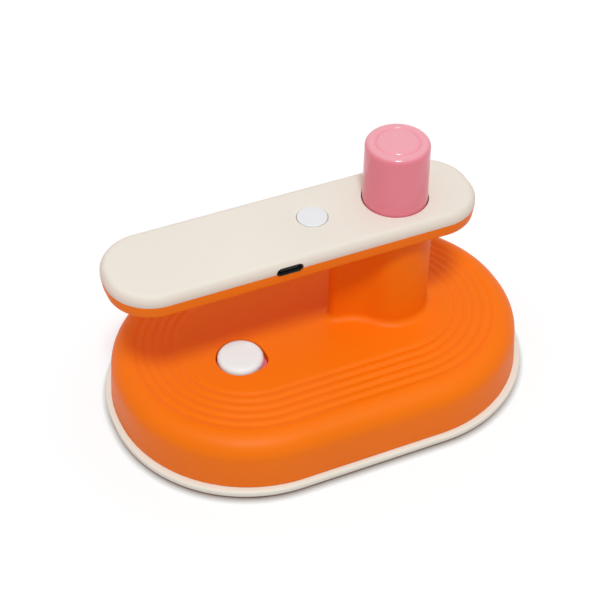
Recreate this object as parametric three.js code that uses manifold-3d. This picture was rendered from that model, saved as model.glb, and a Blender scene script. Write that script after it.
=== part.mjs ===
// A compact cordless wallpaper steamer: an oval steam base, a hollow column moulded on it,
// a flat cantilever grip on the column, and a hand pump that is pressed down into the column.
// Millimetres, +Z up. The origin is on the floor under the middle of the base.
// +X points to the end that carries the column, -Y to the side with the charging port.

import * as THREE from 'three';
import { mergeVertices } from 'three/addons/utils/BufferGeometryUtils.js';
import Module from 'manifold-3d';

const wasm = await Module();
wasm.setup();

// ---- Driving dimensions -------------------------------------------------------------------

// Clearances
const seam = 0.1; // parting line between two shells
const seat = 0.3; // between a loose piece and what carries it
const slip = 0.3; // round a piece that slides
const cut = 2; // how far a cutting tool runs past the face that it opens

// Bottom cover: the pale rim that shows round the foot of the base
const coverRimAtEnds = 2; // how far the rim stands out of the base shell
const coverRimAtSides = 1.9;
const coverEndFlat = 2; // half of the straight part at each end of the oval
const coverThickness = 2.7;
const coverEdgeRadius = 0.9;
const coverLipHeight = 2;
const coverLipThickness = 1.4;

// Feet
const footHeight = 1.6;
const footRadius = 4.5;
const footPegRadius = 2.2;
const footPegLength = 1.5;
const footChamfer = 0.4;
const footEndSetback = 36; // from the base shell's outline to the feet
const footSideSetback = 8;

// Base shell
const baseHalfLength = 77.7;
const baseHalfWidth = 51.8;
const baseEndFlat = 1; // half of the straight part at each end of the oval
const baseEdgeHeight = 24; // height of the top where its edge round ends
const baseDraft = 0.8;
const baseEdgeRadius = 8;
const baseWall = 2.4;
const baseRoof = 2.6;
const crownRise = 1.8;
const rippleCount = 5;
const rippleInset = 9.2; // from the foot of the wall to the outer ripple's crest
const ripplePitch = 3.9;
const rippleDepth = 0.5;

// Column
const columnSetback = 47.6; // from the base's +X end to the column's axis
const columnWall = 1.35;
const columnBoreGap = 0.35; // round the pump's flange
const webLength = 22; // from the column's axis to the centre of the web's tip
const webTipRadius = 3;
const webFlankRadius = 18;
const columnFootRadius = 2.6;
const columnFootSink = 0.02; // how deep that round starts in the top
const neckWall = 1.3;
const neckHeight = 4.2;
const wireChannelRadius = 1.5;
const wireChannelSetback = 5.2; // from the web's tip screw to the wire channel

// Grip
const gripUnderside = 66;
const gripLowerHeight = 4.9;
const gripUpperHeight = 4;
const gripHalfLength = 68.7;
const gripHalfWidth = 18.3;
const gripEndFlat = 1.7; // half of the straight part at each end of the grip
const gripDraft = 0.5; // how far the lower shell's side leans in on its way down
const gripOverhang = 29.2; // from the column's axis to the grip's +X end
const gripWall = 1.8;
const gripFloor = 2;
const gripRoof = 1.7;
const gripLowerRound = 1.4;
const gripUpperRound = 2.9;
const gripLipDepth = 1;
const gripLipThickness = 1.1;
const gripPostRadius = 3;
const gripPostStart = 10.1; // from the grip's -X end to the first post
const gripPostEnd = 6.1; // from the last post to the grip's +X end
const gripRibThickness = 1.4;
const gripRibHeight = 1.6;
const gripRibY = 6.1;
const gripRibSetback = 12.2; // from the grip's -X end
const gripRibGap = 6; // from the ribs to the board
const gripPostGap = 1; // from the middle post to the board

// Pump
const pumpRadius = 11.7;
const pumpTaper = 0.25;
const pumpReach = 24; // how far the knob stands out of the grip
const pumpEdgeRadius = 1.9;
const pumpWall = 1.7;
const pumpTopThickness = 2.4;
const pumpFlangeReach = 0.4;
const pumpFlangeHeight = 2;
const pumpFlangeSink = 1.2; // from the column's top down to the flange
const pumpStroke = 14;
const pumpRingOuter = 8.4;
const pumpRingInner = 6.9;
const pumpRingDepth = 0.6;
const pumpRingSlope = 0.3;
const pumpBossRadius = 3.6;
const pumpBossLength = 6;
const rodRadius = 2;
const pistonRadius = 6.2;
const pistonHeight = 4;
const pistonClearance = 2.4; // left under the piston when the pump is down
const pistonGrooveHeight = 1.6;
const pistonGrooveDepth = 1.3;
const outletBore = 1.2;
const valveRadius = 3.4;
const valveStemRadius = 0.8;
const valveEdge = 0.7;
const valveThickness = 1;
const barrelRadius = 8.2;
const barrelBoreRadius = 6.5;
const barrelTop = 58;
const barrelFlangeRadius = 15;
const barrelFlangeThickness = 1.4;
const barrelFloor = 3;
const guideThickness = 2;
const guideSpigot = 3;
const springWire = 1.2;
const springRadius = 7.3;
const springTurns = 7;
const springEndTurns = 0.5; // flat part of the wire at each end

// Power button and charging port
const buttonOffset = 8; // from the middle of the grip towards +X
const buttonY = 1;
const buttonRadius = 5.6;
const buttonProud = 0.4;
const buttonTravel = 0.6;
const buttonFlange = 0.9;
const buttonFlangeHeight = 0.7;
const buttonStemRadius = 1.6;
const buttonStemLength = 0.4;
const portOffset = 8.6; // from the middle of the grip towards -X
const portWidth = 10;
const portHeight = 3.4;
const portLift = 0.5; // from the grip's seam up to the middle of the port
const portRecess = 0.2;
const portSocketDepth = 7.3;
const portSocketWall = 0.4;
const portSocketBack = 1;
const portTongueSideGap = 1.2;
const portTongueRecess = 0.8;
const portTongueThickness = 0.7;

// Filler
const fillerSetback = 45.2; // from the base's -X end
const fillerY = -6.5;
const fillerRadius = 8.4;
const fillerEdge = 0.5;
const fillerProud = 1.1;
const fillerHeadThickness = 3.2;
const fillerGap = 0.5;
const fillerNailRelief = 1.8;
const fillerStemRadius = 4.9;
const fillerStemLength = 7;
const fillerStemChamfer = 1;
const fillerSealThickness = 1.9;
const fillerCupWall = 1.6;

// Steam plate, tray and boiler
const plateEndSetback = 22.5; // from the base shell's outline to the steam plate
const plateSideSetback = 22.5;
const plateEndFlat = 0.5;
const plateSole = 1.9;
const plateWall = 2;
const plateFlange = 3;
const plateFlangeThickness = 1.2;
const plateHoleRadius = 1.6;
const plateHoleColumns = 7;
const plateHoleRows = 3;
const plateHolePitch = 13.5;
const gasketThickness = 0.8;
const trayHeight = 3.4;
const trayWall = 1.6;
const trayEdge = 1;
const boilerHalfLength = 30;
const boilerSideMargin = 6; // from the steam plate's side
const boilerOffset = 4.1; // from the column's axis towards -X
const boilerCornerRadius = 12;
const boilerHeight = 4.9;
const boilerInletRadius = 3.3;
const heaterRadius = 1.6;
const heaterSideMargin = 7; // from the boiler's side
const heaterEndMargin = 5;
const heaterTail = 4;
const heaterSink = 0.8; // from the boiler's top down to the heater's axis
const cutoutRadius = 5;
const cutoutHeight = 2.2;
const cutoutOffset = 18; // from the middle of the boiler towards -X
const cutoutLugReach = 3;
const cutoutLugHalfWidth = 1.6;
const cutoutLugThickness = 0.6;

// Tank, tube and cells
const tankEndSetback = 8.5; // from the base's -X end
const tankBoilerGap = 9;
const tankSideSetback = 23.5; // from the base's side
const tankCornerRadius = 20;
const tankHeight = 8.8;
const tankWall = 1.5;
const nozzleRadius = 1.25;
const nozzleBore = 0.7;
const nozzleLength = 5;
const tubeWall = 0.7;
const tubeLift = 0.35; // from the boiler's top up to the tube
const cellRadius = 7;
const cellLength = 50;
const cellSetback = 11.5; // from the base's side to a cell's axis
const cellHeight = 12.6;
const cellNubRadius = 2.4;
const cellNubLength = 1;
const cellEdge = 0.6;
const cradleThickness = 2.4;
const cradleX = 15;
const cradleInset = 1; // from a cell's side to the cradle's end

// Fasteners
const bossRadius = 3.5;
const bossAngle = 50;
const bossSetback = 9.5; // from the base shell's outline
const screwRadius = 1.2;
const screwHeadRadius = 2.6;
const screwHeadHeight = 1.5;
const screwSlotWidth = 0.9;
const screwSlotReach = 1.56;
const screwSlotDepth = 0.63;
const screwLength = 9;
const gripScrewGap = 1; // left over the grip's screws
const nutThickness = 1.6;
const nutWall = 1.5;
const nutGap = 0.15; // round the column's neck
const nutNotches = 6;
const nutNotchWidth = 2.4;
const nutNotchDepth = 0.84;

// Board
const boardThickness = 1;
const boardLength = 40.6;
const boardSetback = 4; // from the column screw
const boardHalfWidth = 14;
const boardCornerRadius = 3;
const boardSink = 0.5; // how far the parts on the board run into it
const chipSize = 7;
const chipHeight = 1.2;
const chipY = 2.3;
const coilRadius = 3;
const coilHeight = 2;
const coilY = -7;
const connectorDepth = 5;
const connectorWidth = 10;
const connectorHeight = 2.6;
const switchSize = 6;
const switchHeight = 1.5;

// Facets
const cornerSteps = 8;
const gripCornerSteps = 7;
const innerCornerSteps = 4;
const plateCornerSteps = 6;
const rippleSteps = 3;
const roundSteps = 20;
const flankSteps = 4;
const tipSteps = 6;
const edgeSteps = 4;
const innerEdgeSteps = 3;
const coverEdgeSteps = 2;
const crownRings = [0.3, 0.65, 0.9]; // shares of the way from the ripples to the middle
const visibleSides = 24;
const hiddenSides = 12;
const heaterBendSteps = 10;
const springSteps = 8; // in each turn
const springSides = 5;
const holeSides = 8;
const plateHoleSides = 6;

// ---- Sizes that follow --------------------------------------------------------------------

const baseCornerRadius = baseHalfWidth - baseEndFlat;
const coverHalfLength = baseHalfLength + coverRimAtEnds;
const coverHalfWidth = baseHalfWidth + coverRimAtSides;
const coverCornerRadius = coverHalfWidth - coverEndFlat;
const footX = baseHalfLength - footEndSetback;
const footY = baseHalfWidth - footSideSetback;
const coverTop = footHeight + coverThickness;
const shellFoot = coverTop + seam;
const baseInnerRadius = baseEdgeRadius - baseWall;
const baseCeiling = baseEdgeHeight - baseRoof;
const crownTop = baseEdgeHeight + crownRise;
const gripSeam = gripUnderside + gripLowerHeight;
const gripTop = gripSeam + gripUpperHeight;
const gripFloorTop = gripUnderside + gripFloor;
const gripCeiling = gripTop - gripRoof;
const pumpFlangeRadius = pumpRadius + pumpFlangeReach;
const pumpTopRadius = pumpRadius - pumpTaper;
const columnX = baseHalfLength - columnSetback;
const columnBoreRadius = pumpFlangeRadius + columnBoreGap;
const columnRadius = columnBoreRadius + columnWall;
const columnTop = gripUnderside - seam;
const webTipX = columnX - webLength;
const neckTop = gripUnderside + neckHeight;
const neckBoreRadius = pumpRadius + slip;
const neckRadius = neckBoreRadius + neckWall;
const gripX = columnX + gripOverhang - gripHalfLength;
const buttonX = gripX + buttonOffset;
const portX = gripX - portOffset;
const pumpTop = gripTop + pumpReach;
const pumpFlangeTop = columnTop - pumpFlangeSink;
const pumpBottom = pumpFlangeTop - pumpFlangeHeight;
const pumpCeiling = pumpTop - pumpTopThickness;
const pumpInnerRadius = pumpTopRadius - pumpWall;
const bossFoot = pumpCeiling - pumpBossLength;
const fillerX = fillerSetback - baseHalfLength;
const fillerTop = crownTop + fillerProud;
const fillerHeadFoot = fillerTop - fillerHeadThickness;
const fillerWellRadius = fillerRadius + fillerGap;
const fillerLedge = fillerHeadFoot - seat - fillerSealThickness - seat;
const fillerCupFoot = fillerLedge - fillerCupWall;
const fillerBore = fillerStemRadius + slip;
const plateHalfLength = baseHalfLength - plateEndSetback;
const plateHalfWidth = baseHalfWidth - plateSideSetback;
const plateCornerRadius = plateHalfWidth - plateEndFlat;
const gasketFoot = coverTop + seam;
const flangeFoot = gasketFoot + gasketThickness + seam;
const flangeTop = flangeFoot + plateFlangeThickness;
const trayFoot = flangeTop + seam;
const trayTop = trayFoot + trayHeight;
const boilerX = columnX - boilerOffset;
const boilerHalfWidth = plateHalfWidth - boilerSideMargin;
const boilerFoot = trayTop + seam;
const boilerTop = boilerFoot + boilerHeight;
const tubeBore = nozzleRadius + seam;
const tubeHeight = boilerTop + tubeLift + tubeBore + tubeWall;
const heaterHalfSpan = boilerHalfWidth - heaterSideMargin;
const heaterStart = boilerX - boilerHalfLength - heaterTail;
const heaterBendX = boilerX + boilerHalfLength - heaterEndMargin - heaterHalfSpan;
const heaterHeight = boilerTop - heaterSink;
const cutoutX = boilerX - cutoutOffset;
const cutoutFoot = boilerTop + seam;
const barrelFlangeTop = baseCeiling - seat;
const barrelFlangeFoot = barrelFlangeTop - barrelFlangeThickness;
const barrelHubFoot = boilerTop + seat;
const barrelBoreFoot = barrelFlangeTop + barrelFloor;
const pistonRestHeight = barrelBoreFoot + pistonClearance + pumpStroke;
const tankTop = fillerCupFoot - seat;
const tankFoot = tankTop - tankHeight;
const tankStart = tankEndSetback - baseHalfLength;
const tankEnd = boilerX - boilerHalfLength - tankBoilerGap;
const tankHalfWidth = baseHalfWidth - tankSideSetback;
const cellY = baseHalfWidth - cellSetback;
const boardEnd = webTipX - boardSetback;
const boardStart = boardEnd - boardLength;
const boardTop = gripFloorTop + seam + boardThickness;
const gripPostX = [
  gripX - gripHalfLength + gripPostStart,
  boardStart - gripPostRadius - gripPostGap,
  gripX + gripHalfLength - gripPostEnd,
];
const columnScrewHead = gripFloorTop + screwHeadHeight;
const gripScrewLength = gripCeiling - gripUnderside - gripScrewGap;
const bossHeading = THREE.MathUtils.degToRad(bossAngle);
const bossReach = baseCornerRadius - bossSetback;
const bossX = baseHalfLength - baseCornerRadius + bossReach * Math.cos(bossHeading);
const bossY = baseHalfWidth - baseCornerRadius + bossReach * Math.sin(bossHeading);
const buttonFlangeTop = gripCeiling - seat;
const buttonFlangeFoot = buttonFlangeTop - buttonFlangeHeight;
const portHeightCentre = gripSeam + portLift;

// ---- Solids ---------------------------------------------------------------------------------

// A closed geometry as a solid that can be cut and joined.
function solid(geometry) {
  const bare = geometry.clone();
  bare.deleteAttribute('normal');
  bare.deleteAttribute('uv');
  const merged = mergeVertices(bare, 1e-4);
  return new wasm.Manifold(
    new wasm.Mesh({
      numProp: 3,
      vertProperties: new Float32Array(merged.attributes.position.array),
      triVerts: new Uint32Array(merged.index.array),
    }),
  );
}

// A solid back as a geometry.
function geometryOf(body) {
  const mesh = body.getMesh();
  const geometry = new THREE.BufferGeometry();
  geometry.setAttribute('position', new THREE.BufferAttribute(mesh.vertProperties, 3));
  geometry.setIndex(new THREE.BufferAttribute(mesh.triVerts, 1));
  geometry.computeVertexNormals();
  return geometry;
}

// A skin over rings of equal count, each anticlockwise seen from above, closed by a fan at each end.
function loft(rings) {
  const count = rings[0].length;
  const points = rings.flat();
  const middle = (ring) => ring.reduce((sum, p) => sum.add(p), new THREE.Vector3()).divideScalar(count);
  const first = points.push(middle(rings[0])) - 1;
  const last = points.push(middle(rings[rings.length - 1])) - 1;
  const faces = [];
  for (let j = 0; j < count; j++) {
    const k = (j + 1) % count;
    faces.push(first, k, j);
    for (let i = 0; i + 1 < rings.length; i++) {
      const low = i * count;
      const high = low + count;
      faces.push(low + j, low + k, high + k, low + j, high + k, high + j);
    }
    const top = (rings.length - 1) * count;
    faces.push(last, top + j, top + k);
  }
  const geometry = new THREE.BufferGeometry().setFromPoints(points);
  geometry.setIndex(faces);
  return solid(geometry);
}

// A rectangle with round corners, drawn in by inset all round, at one height.
function ovalRing({ halfLength, halfWidth, cornerRadius, x = 0, y = 0, steps = cornerSteps }, inset, z) {
  const alongX = halfLength - cornerRadius;
  const alongY = halfWidth - cornerRadius;
  const radius = cornerRadius - inset;
  const ring = [];
  for (let quarter = 0; quarter < 4; quarter++) {
    const signX = quarter === 0 || quarter === 3 ? 1 : -1;
    const signY = quarter < 2 ? 1 : -1;
    for (let i = 0; i <= steps; i++) {
      const angle = (quarter + i / steps) * (Math.PI / 2);
      const px = x + signX * alongX + radius * Math.cos(angle);
      const py = y + signY * alongY + radius * Math.sin(angle);
      ring.push(new THREE.Vector3(px, py, z));
    }
  }
  return ring;
}

// A slab with an oval outline.
function ovalSlab(oval, inset, low, high) {
  return loft([ovalRing(oval, inset, low), ovalRing(oval, inset, high)]);
}

// A body turned about an upright axis from a profile of [radius, height] points.
function turned(profile, sides, x = 0, y = 0) {
  const points = profile.map(([r, z]) => new THREE.Vector2(r, z));
  const geometry = new THREE.LatheGeometry(points, sides);
  geometry.rotateX(Math.PI / 2);
  geometry.translate(x, y, 0);
  return solid(geometry);
}

function rod(radius, low, high, x, y, sides = holeSides) {
  return turned([[0, low], [radius, low], [radius, high], [0, high]], sides, x, y);
}

// A ring with a square section.
function collar(inner, outer, low, high, x, y, sides) {
  const profile = [[inner, low], [outer, low], [outer, high], [inner, high], [inner, low]];
  return turned(profile, sides, x, y);
}

function block(x0, x1, y0, y1, z0, z1) {
  const geometry = new THREE.BoxGeometry(x1 - x0, y1 - y0, z1 - z0);
  geometry.translate((x0 + x1) / 2, (y0 + y1) / 2, (z0 + z1) / 2);
  return solid(geometry);
}

// A rod that lies along X.
function lyingRod(radius, x0, x1, y, z, sides = holeSides) {
  const geometry = new THREE.CylinderGeometry(radius, radius, x1 - x0, sides);
  geometry.rotateZ(-Math.PI / 2);
  geometry.translate((x0 + x1) / 2, y, z);
  return solid(geometry);
}

// A slot with round ends, long in X and open along Y.
function lyingSlot(width, height, x, y0, y1, z) {
  const radius = height / 2;
  const reach = width / 2 - radius;
  const outline = new THREE.Shape();
  outline.absarc(reach, 0, radius, -Math.PI / 2, Math.PI / 2);
  outline.absarc(-reach, 0, radius, Math.PI / 2, (3 * Math.PI) / 2);
  outline.closePath();
  const options = { depth: y1 - y0, bevelEnabled: false, curveSegments: holeSides / 2 };
  const geometry = new THREE.ExtrudeGeometry(outline, options);
  geometry.rotateX(Math.PI / 2);
  geometry.translate(x, y1, z);
  return solid(geometry);
}

// Points of a round edge from the wall (inset 0) to the face (inset radius).
function edgeRound(radius, steps) {
  const angles = Array.from({ length: steps + 1 }, (_, i) => (i / steps) * (Math.PI / 2));
  return angles.map((a) => ({ inset: radius * (1 - Math.cos(a)), rise: radius * Math.sin(a) }));
}

const joined = (first, ...others) => others.reduce((body, other) => body.add(other), first);
const pierced = (first, ...others) => others.reduce((body, other) => body.subtract(other), first);

// ---- Base -----------------------------------------------------------------------------------

const baseOval = {
  halfLength: baseHalfLength,
  halfWidth: baseHalfWidth,
  cornerRadius: baseCornerRadius,
};
const coverOval = {
  halfLength: coverHalfLength,
  halfWidth: coverHalfWidth,
  cornerRadius: coverCornerRadius,
};
const plateOval = {
  halfLength: plateHalfLength,
  halfWidth: plateHalfWidth,
  cornerRadius: plateCornerRadius,
  steps: plateCornerSteps,
};

// Height of the crowned top at an inset from the foot of the wall, with its ripples.
function topHeight(inset) {
  const start = baseDraft + baseEdgeRadius;
  const share = THREE.MathUtils.clamp((inset - start) / (baseHalfWidth - start), 0, 1);
  let height = baseEdgeHeight + (crownRise * (1 - Math.cos(Math.PI * share))) / 2;
  const wave = (inset - rippleInset) / ripplePitch;
  if (wave > 0 && wave < rippleCount) height -= (rippleDepth * (1 - Math.cos(2 * Math.PI * wave))) / 2;
  return height;
}

// The same height at a point of the plan.
function topHeightAt(x, y) {
  const beyondX = Math.max(Math.abs(x) - (baseHalfLength - baseCornerRadius), 0);
  const beyondY = Math.max(Math.abs(y) - (baseHalfWidth - baseCornerRadius), 0);
  return topHeight(baseCornerRadius - Math.hypot(beyondX, beyondY));
}

function baseHousing() {
  const rings = [];
  const innerStart = baseDraft + baseEdgeRadius;
  const innerSpring = baseCeiling - baseInnerRadius;
  for (const { inset, rise } of edgeRound(baseInnerRadius, innerEdgeSteps).reverse()) {
    rings.push(ovalRing(baseOval, baseDraft + baseWall + inset, innerSpring + rise));
  }
  rings.push(ovalRing(baseOval, baseWall, shellFoot));
  rings.push(ovalRing(baseOval, 0, shellFoot));
  for (const { inset, rise } of edgeRound(baseEdgeRadius, edgeSteps + 1)) {
    rings.push(ovalRing(baseOval, baseDraft + inset, baseEdgeHeight - baseEdgeRadius + rise));
  }
  const insets = [];
  for (let i = 0; i <= rippleCount * rippleSteps; i++) {
    insets.push(rippleInset + (i * ripplePitch) / rippleSteps);
  }
  const flatStart = insets[insets.length - 1];
  for (const share of crownRings) {
    insets.push(flatStart + share * (baseCornerRadius - flatStart));
  }
  for (const inset of insets) {
    if (inset > innerStart) rings.push(ovalRing(baseOval, inset, topHeight(inset)));
  }
  return loft(rings);
}

// The column's outline: a round with a thinner web that runs to a rounded tip on its -X side.
// Both flanks of the web are hollow arcs tangent to the round and to the tip.
function columnRing(swell, heightAt) {
  const toTip = webTipRadius + webFlankRadius;
  const toRound = columnRadius + webFlankRadius;
  const along = (toTip ** 2 - toRound ** 2 + webLength ** 2) / (2 * webLength);
  const flank = new THREE.Vector2(webTipX + along, Math.sqrt(toTip ** 2 - along ** 2));
  const roundAngle = Math.atan2(flank.y, flank.x - columnX);
  const tipAngle = Math.atan2(flank.y, flank.x - webTipX);
  const ring = [];
  const arc = (x, y, radius, from, to, steps) => {
    for (let i = 0; i < steps; i++) {
      const angle = from + ((to - from) * i) / steps;
      const px = x + radius * Math.cos(angle);
      const py = y + radius * Math.sin(angle);
      ring.push(new THREE.Vector3(px, py, heightAt(px, py)));
    }
  };
  const flankRadius = webFlankRadius - swell;
  arc(columnX, 0, columnRadius + swell, -roundAngle, roundAngle, roundSteps);
  arc(flank.x, flank.y, flankRadius, roundAngle - Math.PI, tipAngle - Math.PI, flankSteps);
  arc(webTipX, 0, webTipRadius + swell, tipAngle, 2 * Math.PI - tipAngle, tipSteps);
  arc(flank.x, -flank.y, flankRadius, Math.PI - tipAngle, Math.PI - roundAngle, flankSteps);
  return ring;
}

function column() {
  const rings = [columnRing(columnFootRadius, () => baseCeiling + baseRoof / 2)];
  for (const { inset, rise } of edgeRound(columnFootRadius, edgeSteps)) {
    const swell = columnFootRadius - rise;
    rings.push(columnRing(swell, (x, y) => topHeightAt(x, y) + inset - columnFootSink));
  }
  rings.push(columnRing(0, () => columnTop));
  return loft(rings);
}

// The filler well's outline: round, and longer towards +X so that a nail gets under the plug.
function wellSlab(radius, low, high) {
  const oval = {
    halfLength: radius + fillerNailRelief / 2,
    halfWidth: radius,
    cornerRadius: radius,
    x: fillerX + fillerNailRelief / 2,
    y: fillerY,
    steps: gripCornerSteps,
  };
  return ovalSlab(oval, 0, low, high);
}

function corners(x, y) {
  return [[-x, -y], [x, -y], [-x, y], [x, y]];
}

function baseShell() {
  let body = joined(
    baseHousing(),
    column(),
    rod(neckRadius, columnTop - cut, neckTop, columnX, 0, visibleSides),
    wellSlab(fillerWellRadius + fillerCupWall, fillerCupFoot, baseCeiling + baseRoof / 2),
  );
  for (const [x, y] of corners(bossX, bossY)) {
    const boss = rod(bossRadius, shellFoot + coverLipHeight, baseCeiling + baseRoof / 2, x, y, holeSides);
    body = body.add(boss);
  }
  body = pierced(
    body,
    rod(columnBoreRadius, baseCeiling - cut, pumpFlangeTop + slip, columnX, 0, visibleSides),
    rod(neckBoreRadius, baseCeiling, neckTop + cut, columnX, 0, visibleSides),
    rod(wireChannelRadius, baseCeiling - cut, columnTop + cut, webTipX + wireChannelSetback, 0),
    rod(screwRadius + seat, columnTop - screwLength, columnTop + cut, webTipX, 0),
    wellSlab(fillerWellRadius, fillerLedge, crownTop + cut),
    rod(fillerBore, fillerCupFoot - cut, fillerLedge + cut, fillerX, fillerY, hiddenSides),
  );
  for (const [x, y] of corners(bossX, bossY)) {
    const pilotTop = footHeight + screwHeadHeight + screwLength + seat;
    body = body.subtract(rod(screwRadius + seat, shellFoot, pilotTop, x, y));
  }
  return body;
}

function bottomCover() {
  const rings = [];
  const edge = edgeRound(coverEdgeRadius, coverEdgeSteps);
  for (const { inset, rise } of [...edge].reverse()) {
    rings.push(ovalRing(coverOval, inset, footHeight + coverEdgeRadius - rise));
  }
  for (const { inset, rise } of edge) {
    rings.push(ovalRing(coverOval, inset, coverTop - coverEdgeRadius + rise));
  }
  const lipOutside = baseWall + slip;
  rings.push(ovalRing(baseOval, lipOutside, coverTop));
  rings.push(ovalRing(baseOval, lipOutside, coverTop + coverLipHeight));
  rings.push(ovalRing(baseOval, lipOutside + coverLipThickness, coverTop + coverLipHeight));
  rings.push(ovalRing(baseOval, lipOutside + coverLipThickness, coverTop));
  let body = loft(rings);
  for (const side of [-1, 1]) {
    for (const x of [-cradleX, cradleX]) {
      const halfRun = cellRadius - cradleInset;
      const y = side * cellY;
      const rib = block(
        x - cradleThickness / 2,
        x + cradleThickness / 2,
        y - halfRun,
        y + halfRun,
        coverTop - coverThickness / 2,
        cellHeight - cellRadius / 2,
      );
      body = body.add(rib);
    }
    const reach = cellLength / 2;
    body = body.subtract(lyingRod(cellRadius + seat, -reach, reach, side * cellY, cellHeight, hiddenSides));
  }
  body = body.subtract(ovalSlab(plateOval, -slip, footHeight - cut, coverTop + cut));
  for (const [x, y] of corners(bossX, bossY)) {
    body = pierced(
      body,
      rod(screwRadius + slip, footHeight - cut, coverTop + cut, x, y),
      rod(screwHeadRadius + slip, footHeight - cut, footHeight + screwHeadHeight, x, y, hiddenSides),
    );
  }
  for (const [x, y] of corners(footX, footY)) {
    const hole = rod(footPegRadius + slip, footHeight - cut, footHeight + footPegLength + seat, x, y);
    body = body.subtract(hole);
  }
  return body;
}

function foot(x, y) {
  const top = footHeight - seam;
  const pegTop = footHeight + footPegLength;
  const profile = [
    [0, 0],
    [footRadius - footChamfer, 0],
    [footRadius, footChamfer],
    [footRadius, top],
    [footPegRadius, top],
    [footPegRadius, pegTop],
    [0, pegTop],
  ];
  return turned(profile, hiddenSides, x, y);
}

// A countersunk-head screw that points up (1) or down (-1) from the outside of its head.
function screw(x, y, headFace, way, length) {
  const profile = [
    [0, 0],
    [screwHeadRadius, 0],
    [screwHeadRadius, screwHeadHeight / 2],
    [screwRadius, screwHeadHeight - seam],
    [screwRadius, length - screwRadius],
    [0, length],
  ];
  const upright = turned(profile, holeSides);
  const half = screwSlotWidth / 2;
  const across = block(-screwSlotReach, screwSlotReach, -half, half, -cut, screwSlotDepth);
  const along = block(-half, half, -screwSlotReach, screwSlotReach, -cut, screwSlotDepth);
  const geometry = geometryOf(pierced(upright, across, along));
  if (way < 0) geometry.rotateX(Math.PI);
  geometry.translate(x, y, headFace);
  return solid(geometry);
}

// ---- Steam side -----------------------------------------------------------------------------

function steamPlate() {
  let body = loft([
    ovalRing(plateOval, 0, footHeight),
    ovalRing(plateOval, 0, flangeFoot),
    ovalRing(plateOval, -plateFlange, flangeFoot),
    ovalRing(plateOval, -plateFlange, flangeTop),
    ovalRing(plateOval, plateWall, flangeTop),
    ovalRing(plateOval, plateWall, footHeight + plateSole),
  ]);
  for (let row = 0; row < plateHoleRows; row++) {
    const y = (row - (plateHoleRows - 1) / 2) * plateHolePitch;
    for (let i = 0; i < plateHoleColumns; i++) {
      const x = (i - (plateHoleColumns - 1) / 2) * plateHolePitch;
      const top = footHeight + plateSole + cut;
      body = body.subtract(rod(plateHoleRadius, footHeight - cut, top, x, y, plateHoleSides));
    }
  }
  return body;
}

function plateGasket() {
  const body = ovalSlab(plateOval, -plateFlange, gasketFoot, gasketFoot + gasketThickness);
  return body.subtract(ovalSlab(plateOval, -slip, gasketFoot - cut, flangeFoot + cut));
}

// An upturned tray that closes the steam plate and spreads the steam to all its holes.
function steamTray() {
  const outer = -plateFlange + slip;
  const body = loft([
    ovalRing(plateOval, outer + trayWall, trayTop - trayWall),
    ovalRing(plateOval, outer + trayWall, trayFoot),
    ovalRing(plateOval, outer, trayFoot),
    ovalRing(plateOval, outer, trayTop - trayEdge),
    ovalRing(plateOval, outer + trayEdge, trayTop),
  ]);
  return body.subtract(rod(boilerInletRadius, trayFoot, trayTop + cut, columnX, 0));
}

// The heater: two legs joined by a half circle, all at one height.
function heaterRod(radius, sides) {
  const route = [[heaterStart, -heaterHalfSpan, 0]];
  for (let i = 0; i <= heaterBendSteps; i++) {
    const heading = (Math.PI * i) / heaterBendSteps;
    const x = heaterBendX + heaterHalfSpan * Math.sin(heading);
    route.push([x, -heaterHalfSpan * Math.cos(heading), heading]);
  }
  route.push([heaterStart, heaterHalfSpan, Math.PI]);
  const rings = route.map(([x, y, heading]) => {
    const ring = [];
    for (let j = 0; j < sides; j++) {
      const around = (j / sides) * 2 * Math.PI;
      const side = radius * Math.cos(around);
      const z = heaterHeight + radius * Math.sin(around);
      ring.push(new THREE.Vector3(x - side * Math.sin(heading), y + side * Math.cos(heading), z));
    }
    return ring;
  });
  return loft(rings);
}

function boilerBlock() {
  const oval = {
    halfLength: boilerHalfLength,
    halfWidth: boilerHalfWidth,
    cornerRadius: boilerCornerRadius,
    x: boilerX,
    steps: innerCornerSteps,
  };
  return pierced(
    ovalSlab(oval, 0, boilerFoot, boilerTop),
    rod(boilerInletRadius, boilerFoot - cut, boilerTop + cut, columnX, 0),
    heaterRod(heaterRadius + slip, holeSides),
  );
}

function thermalCutout() {
  const y = -heaterHalfSpan / 2;
  const top = cutoutFoot + cutoutHeight;
  const shoulder = cutoutHeight / 2;
  const profile = [
    [0, cutoutFoot],
    [cutoutRadius, cutoutFoot],
    [cutoutRadius, top - shoulder],
    [cutoutRadius - shoulder, top],
    [0, top],
  ];
  const reach = cutoutRadius + cutoutLugReach;
  const lugs = block(
    cutoutX - reach,
    cutoutX + reach,
    y - cutoutLugHalfWidth,
    y + cutoutLugHalfWidth,
    cutoutFoot,
    cutoutFoot + cutoutLugThickness,
  );
  return joined(turned(profile, hiddenSides, cutoutX, y), lugs);
}

// ---- Water side -----------------------------------------------------------------------------

const tankOval = {
  halfLength: (tankEnd - tankStart) / 2,
  halfWidth: tankHalfWidth,
  cornerRadius: tankCornerRadius,
  x: (tankStart + tankEnd) / 2,
  steps: innerCornerSteps,
};

function waterTank() {
  const outside = joined(
    ovalSlab(tankOval, 0, tankFoot, tankTop),
    lyingRod(nozzleRadius, tankEnd - tankWall, tankEnd + nozzleLength, 0, tubeHeight),
  );
  return pierced(
    outside,
    ovalSlab(tankOval, tankWall, tankFoot + tankWall, tankTop - tankWall),
    rod(fillerBore, tankTop - tankWall - cut, tankTop + cut, fillerX, fillerY, hiddenSides),
    lyingRod(nozzleBore, tankEnd - tankWall - cut, tankEnd + nozzleLength + cut, 0, tubeHeight),
  );
}

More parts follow.
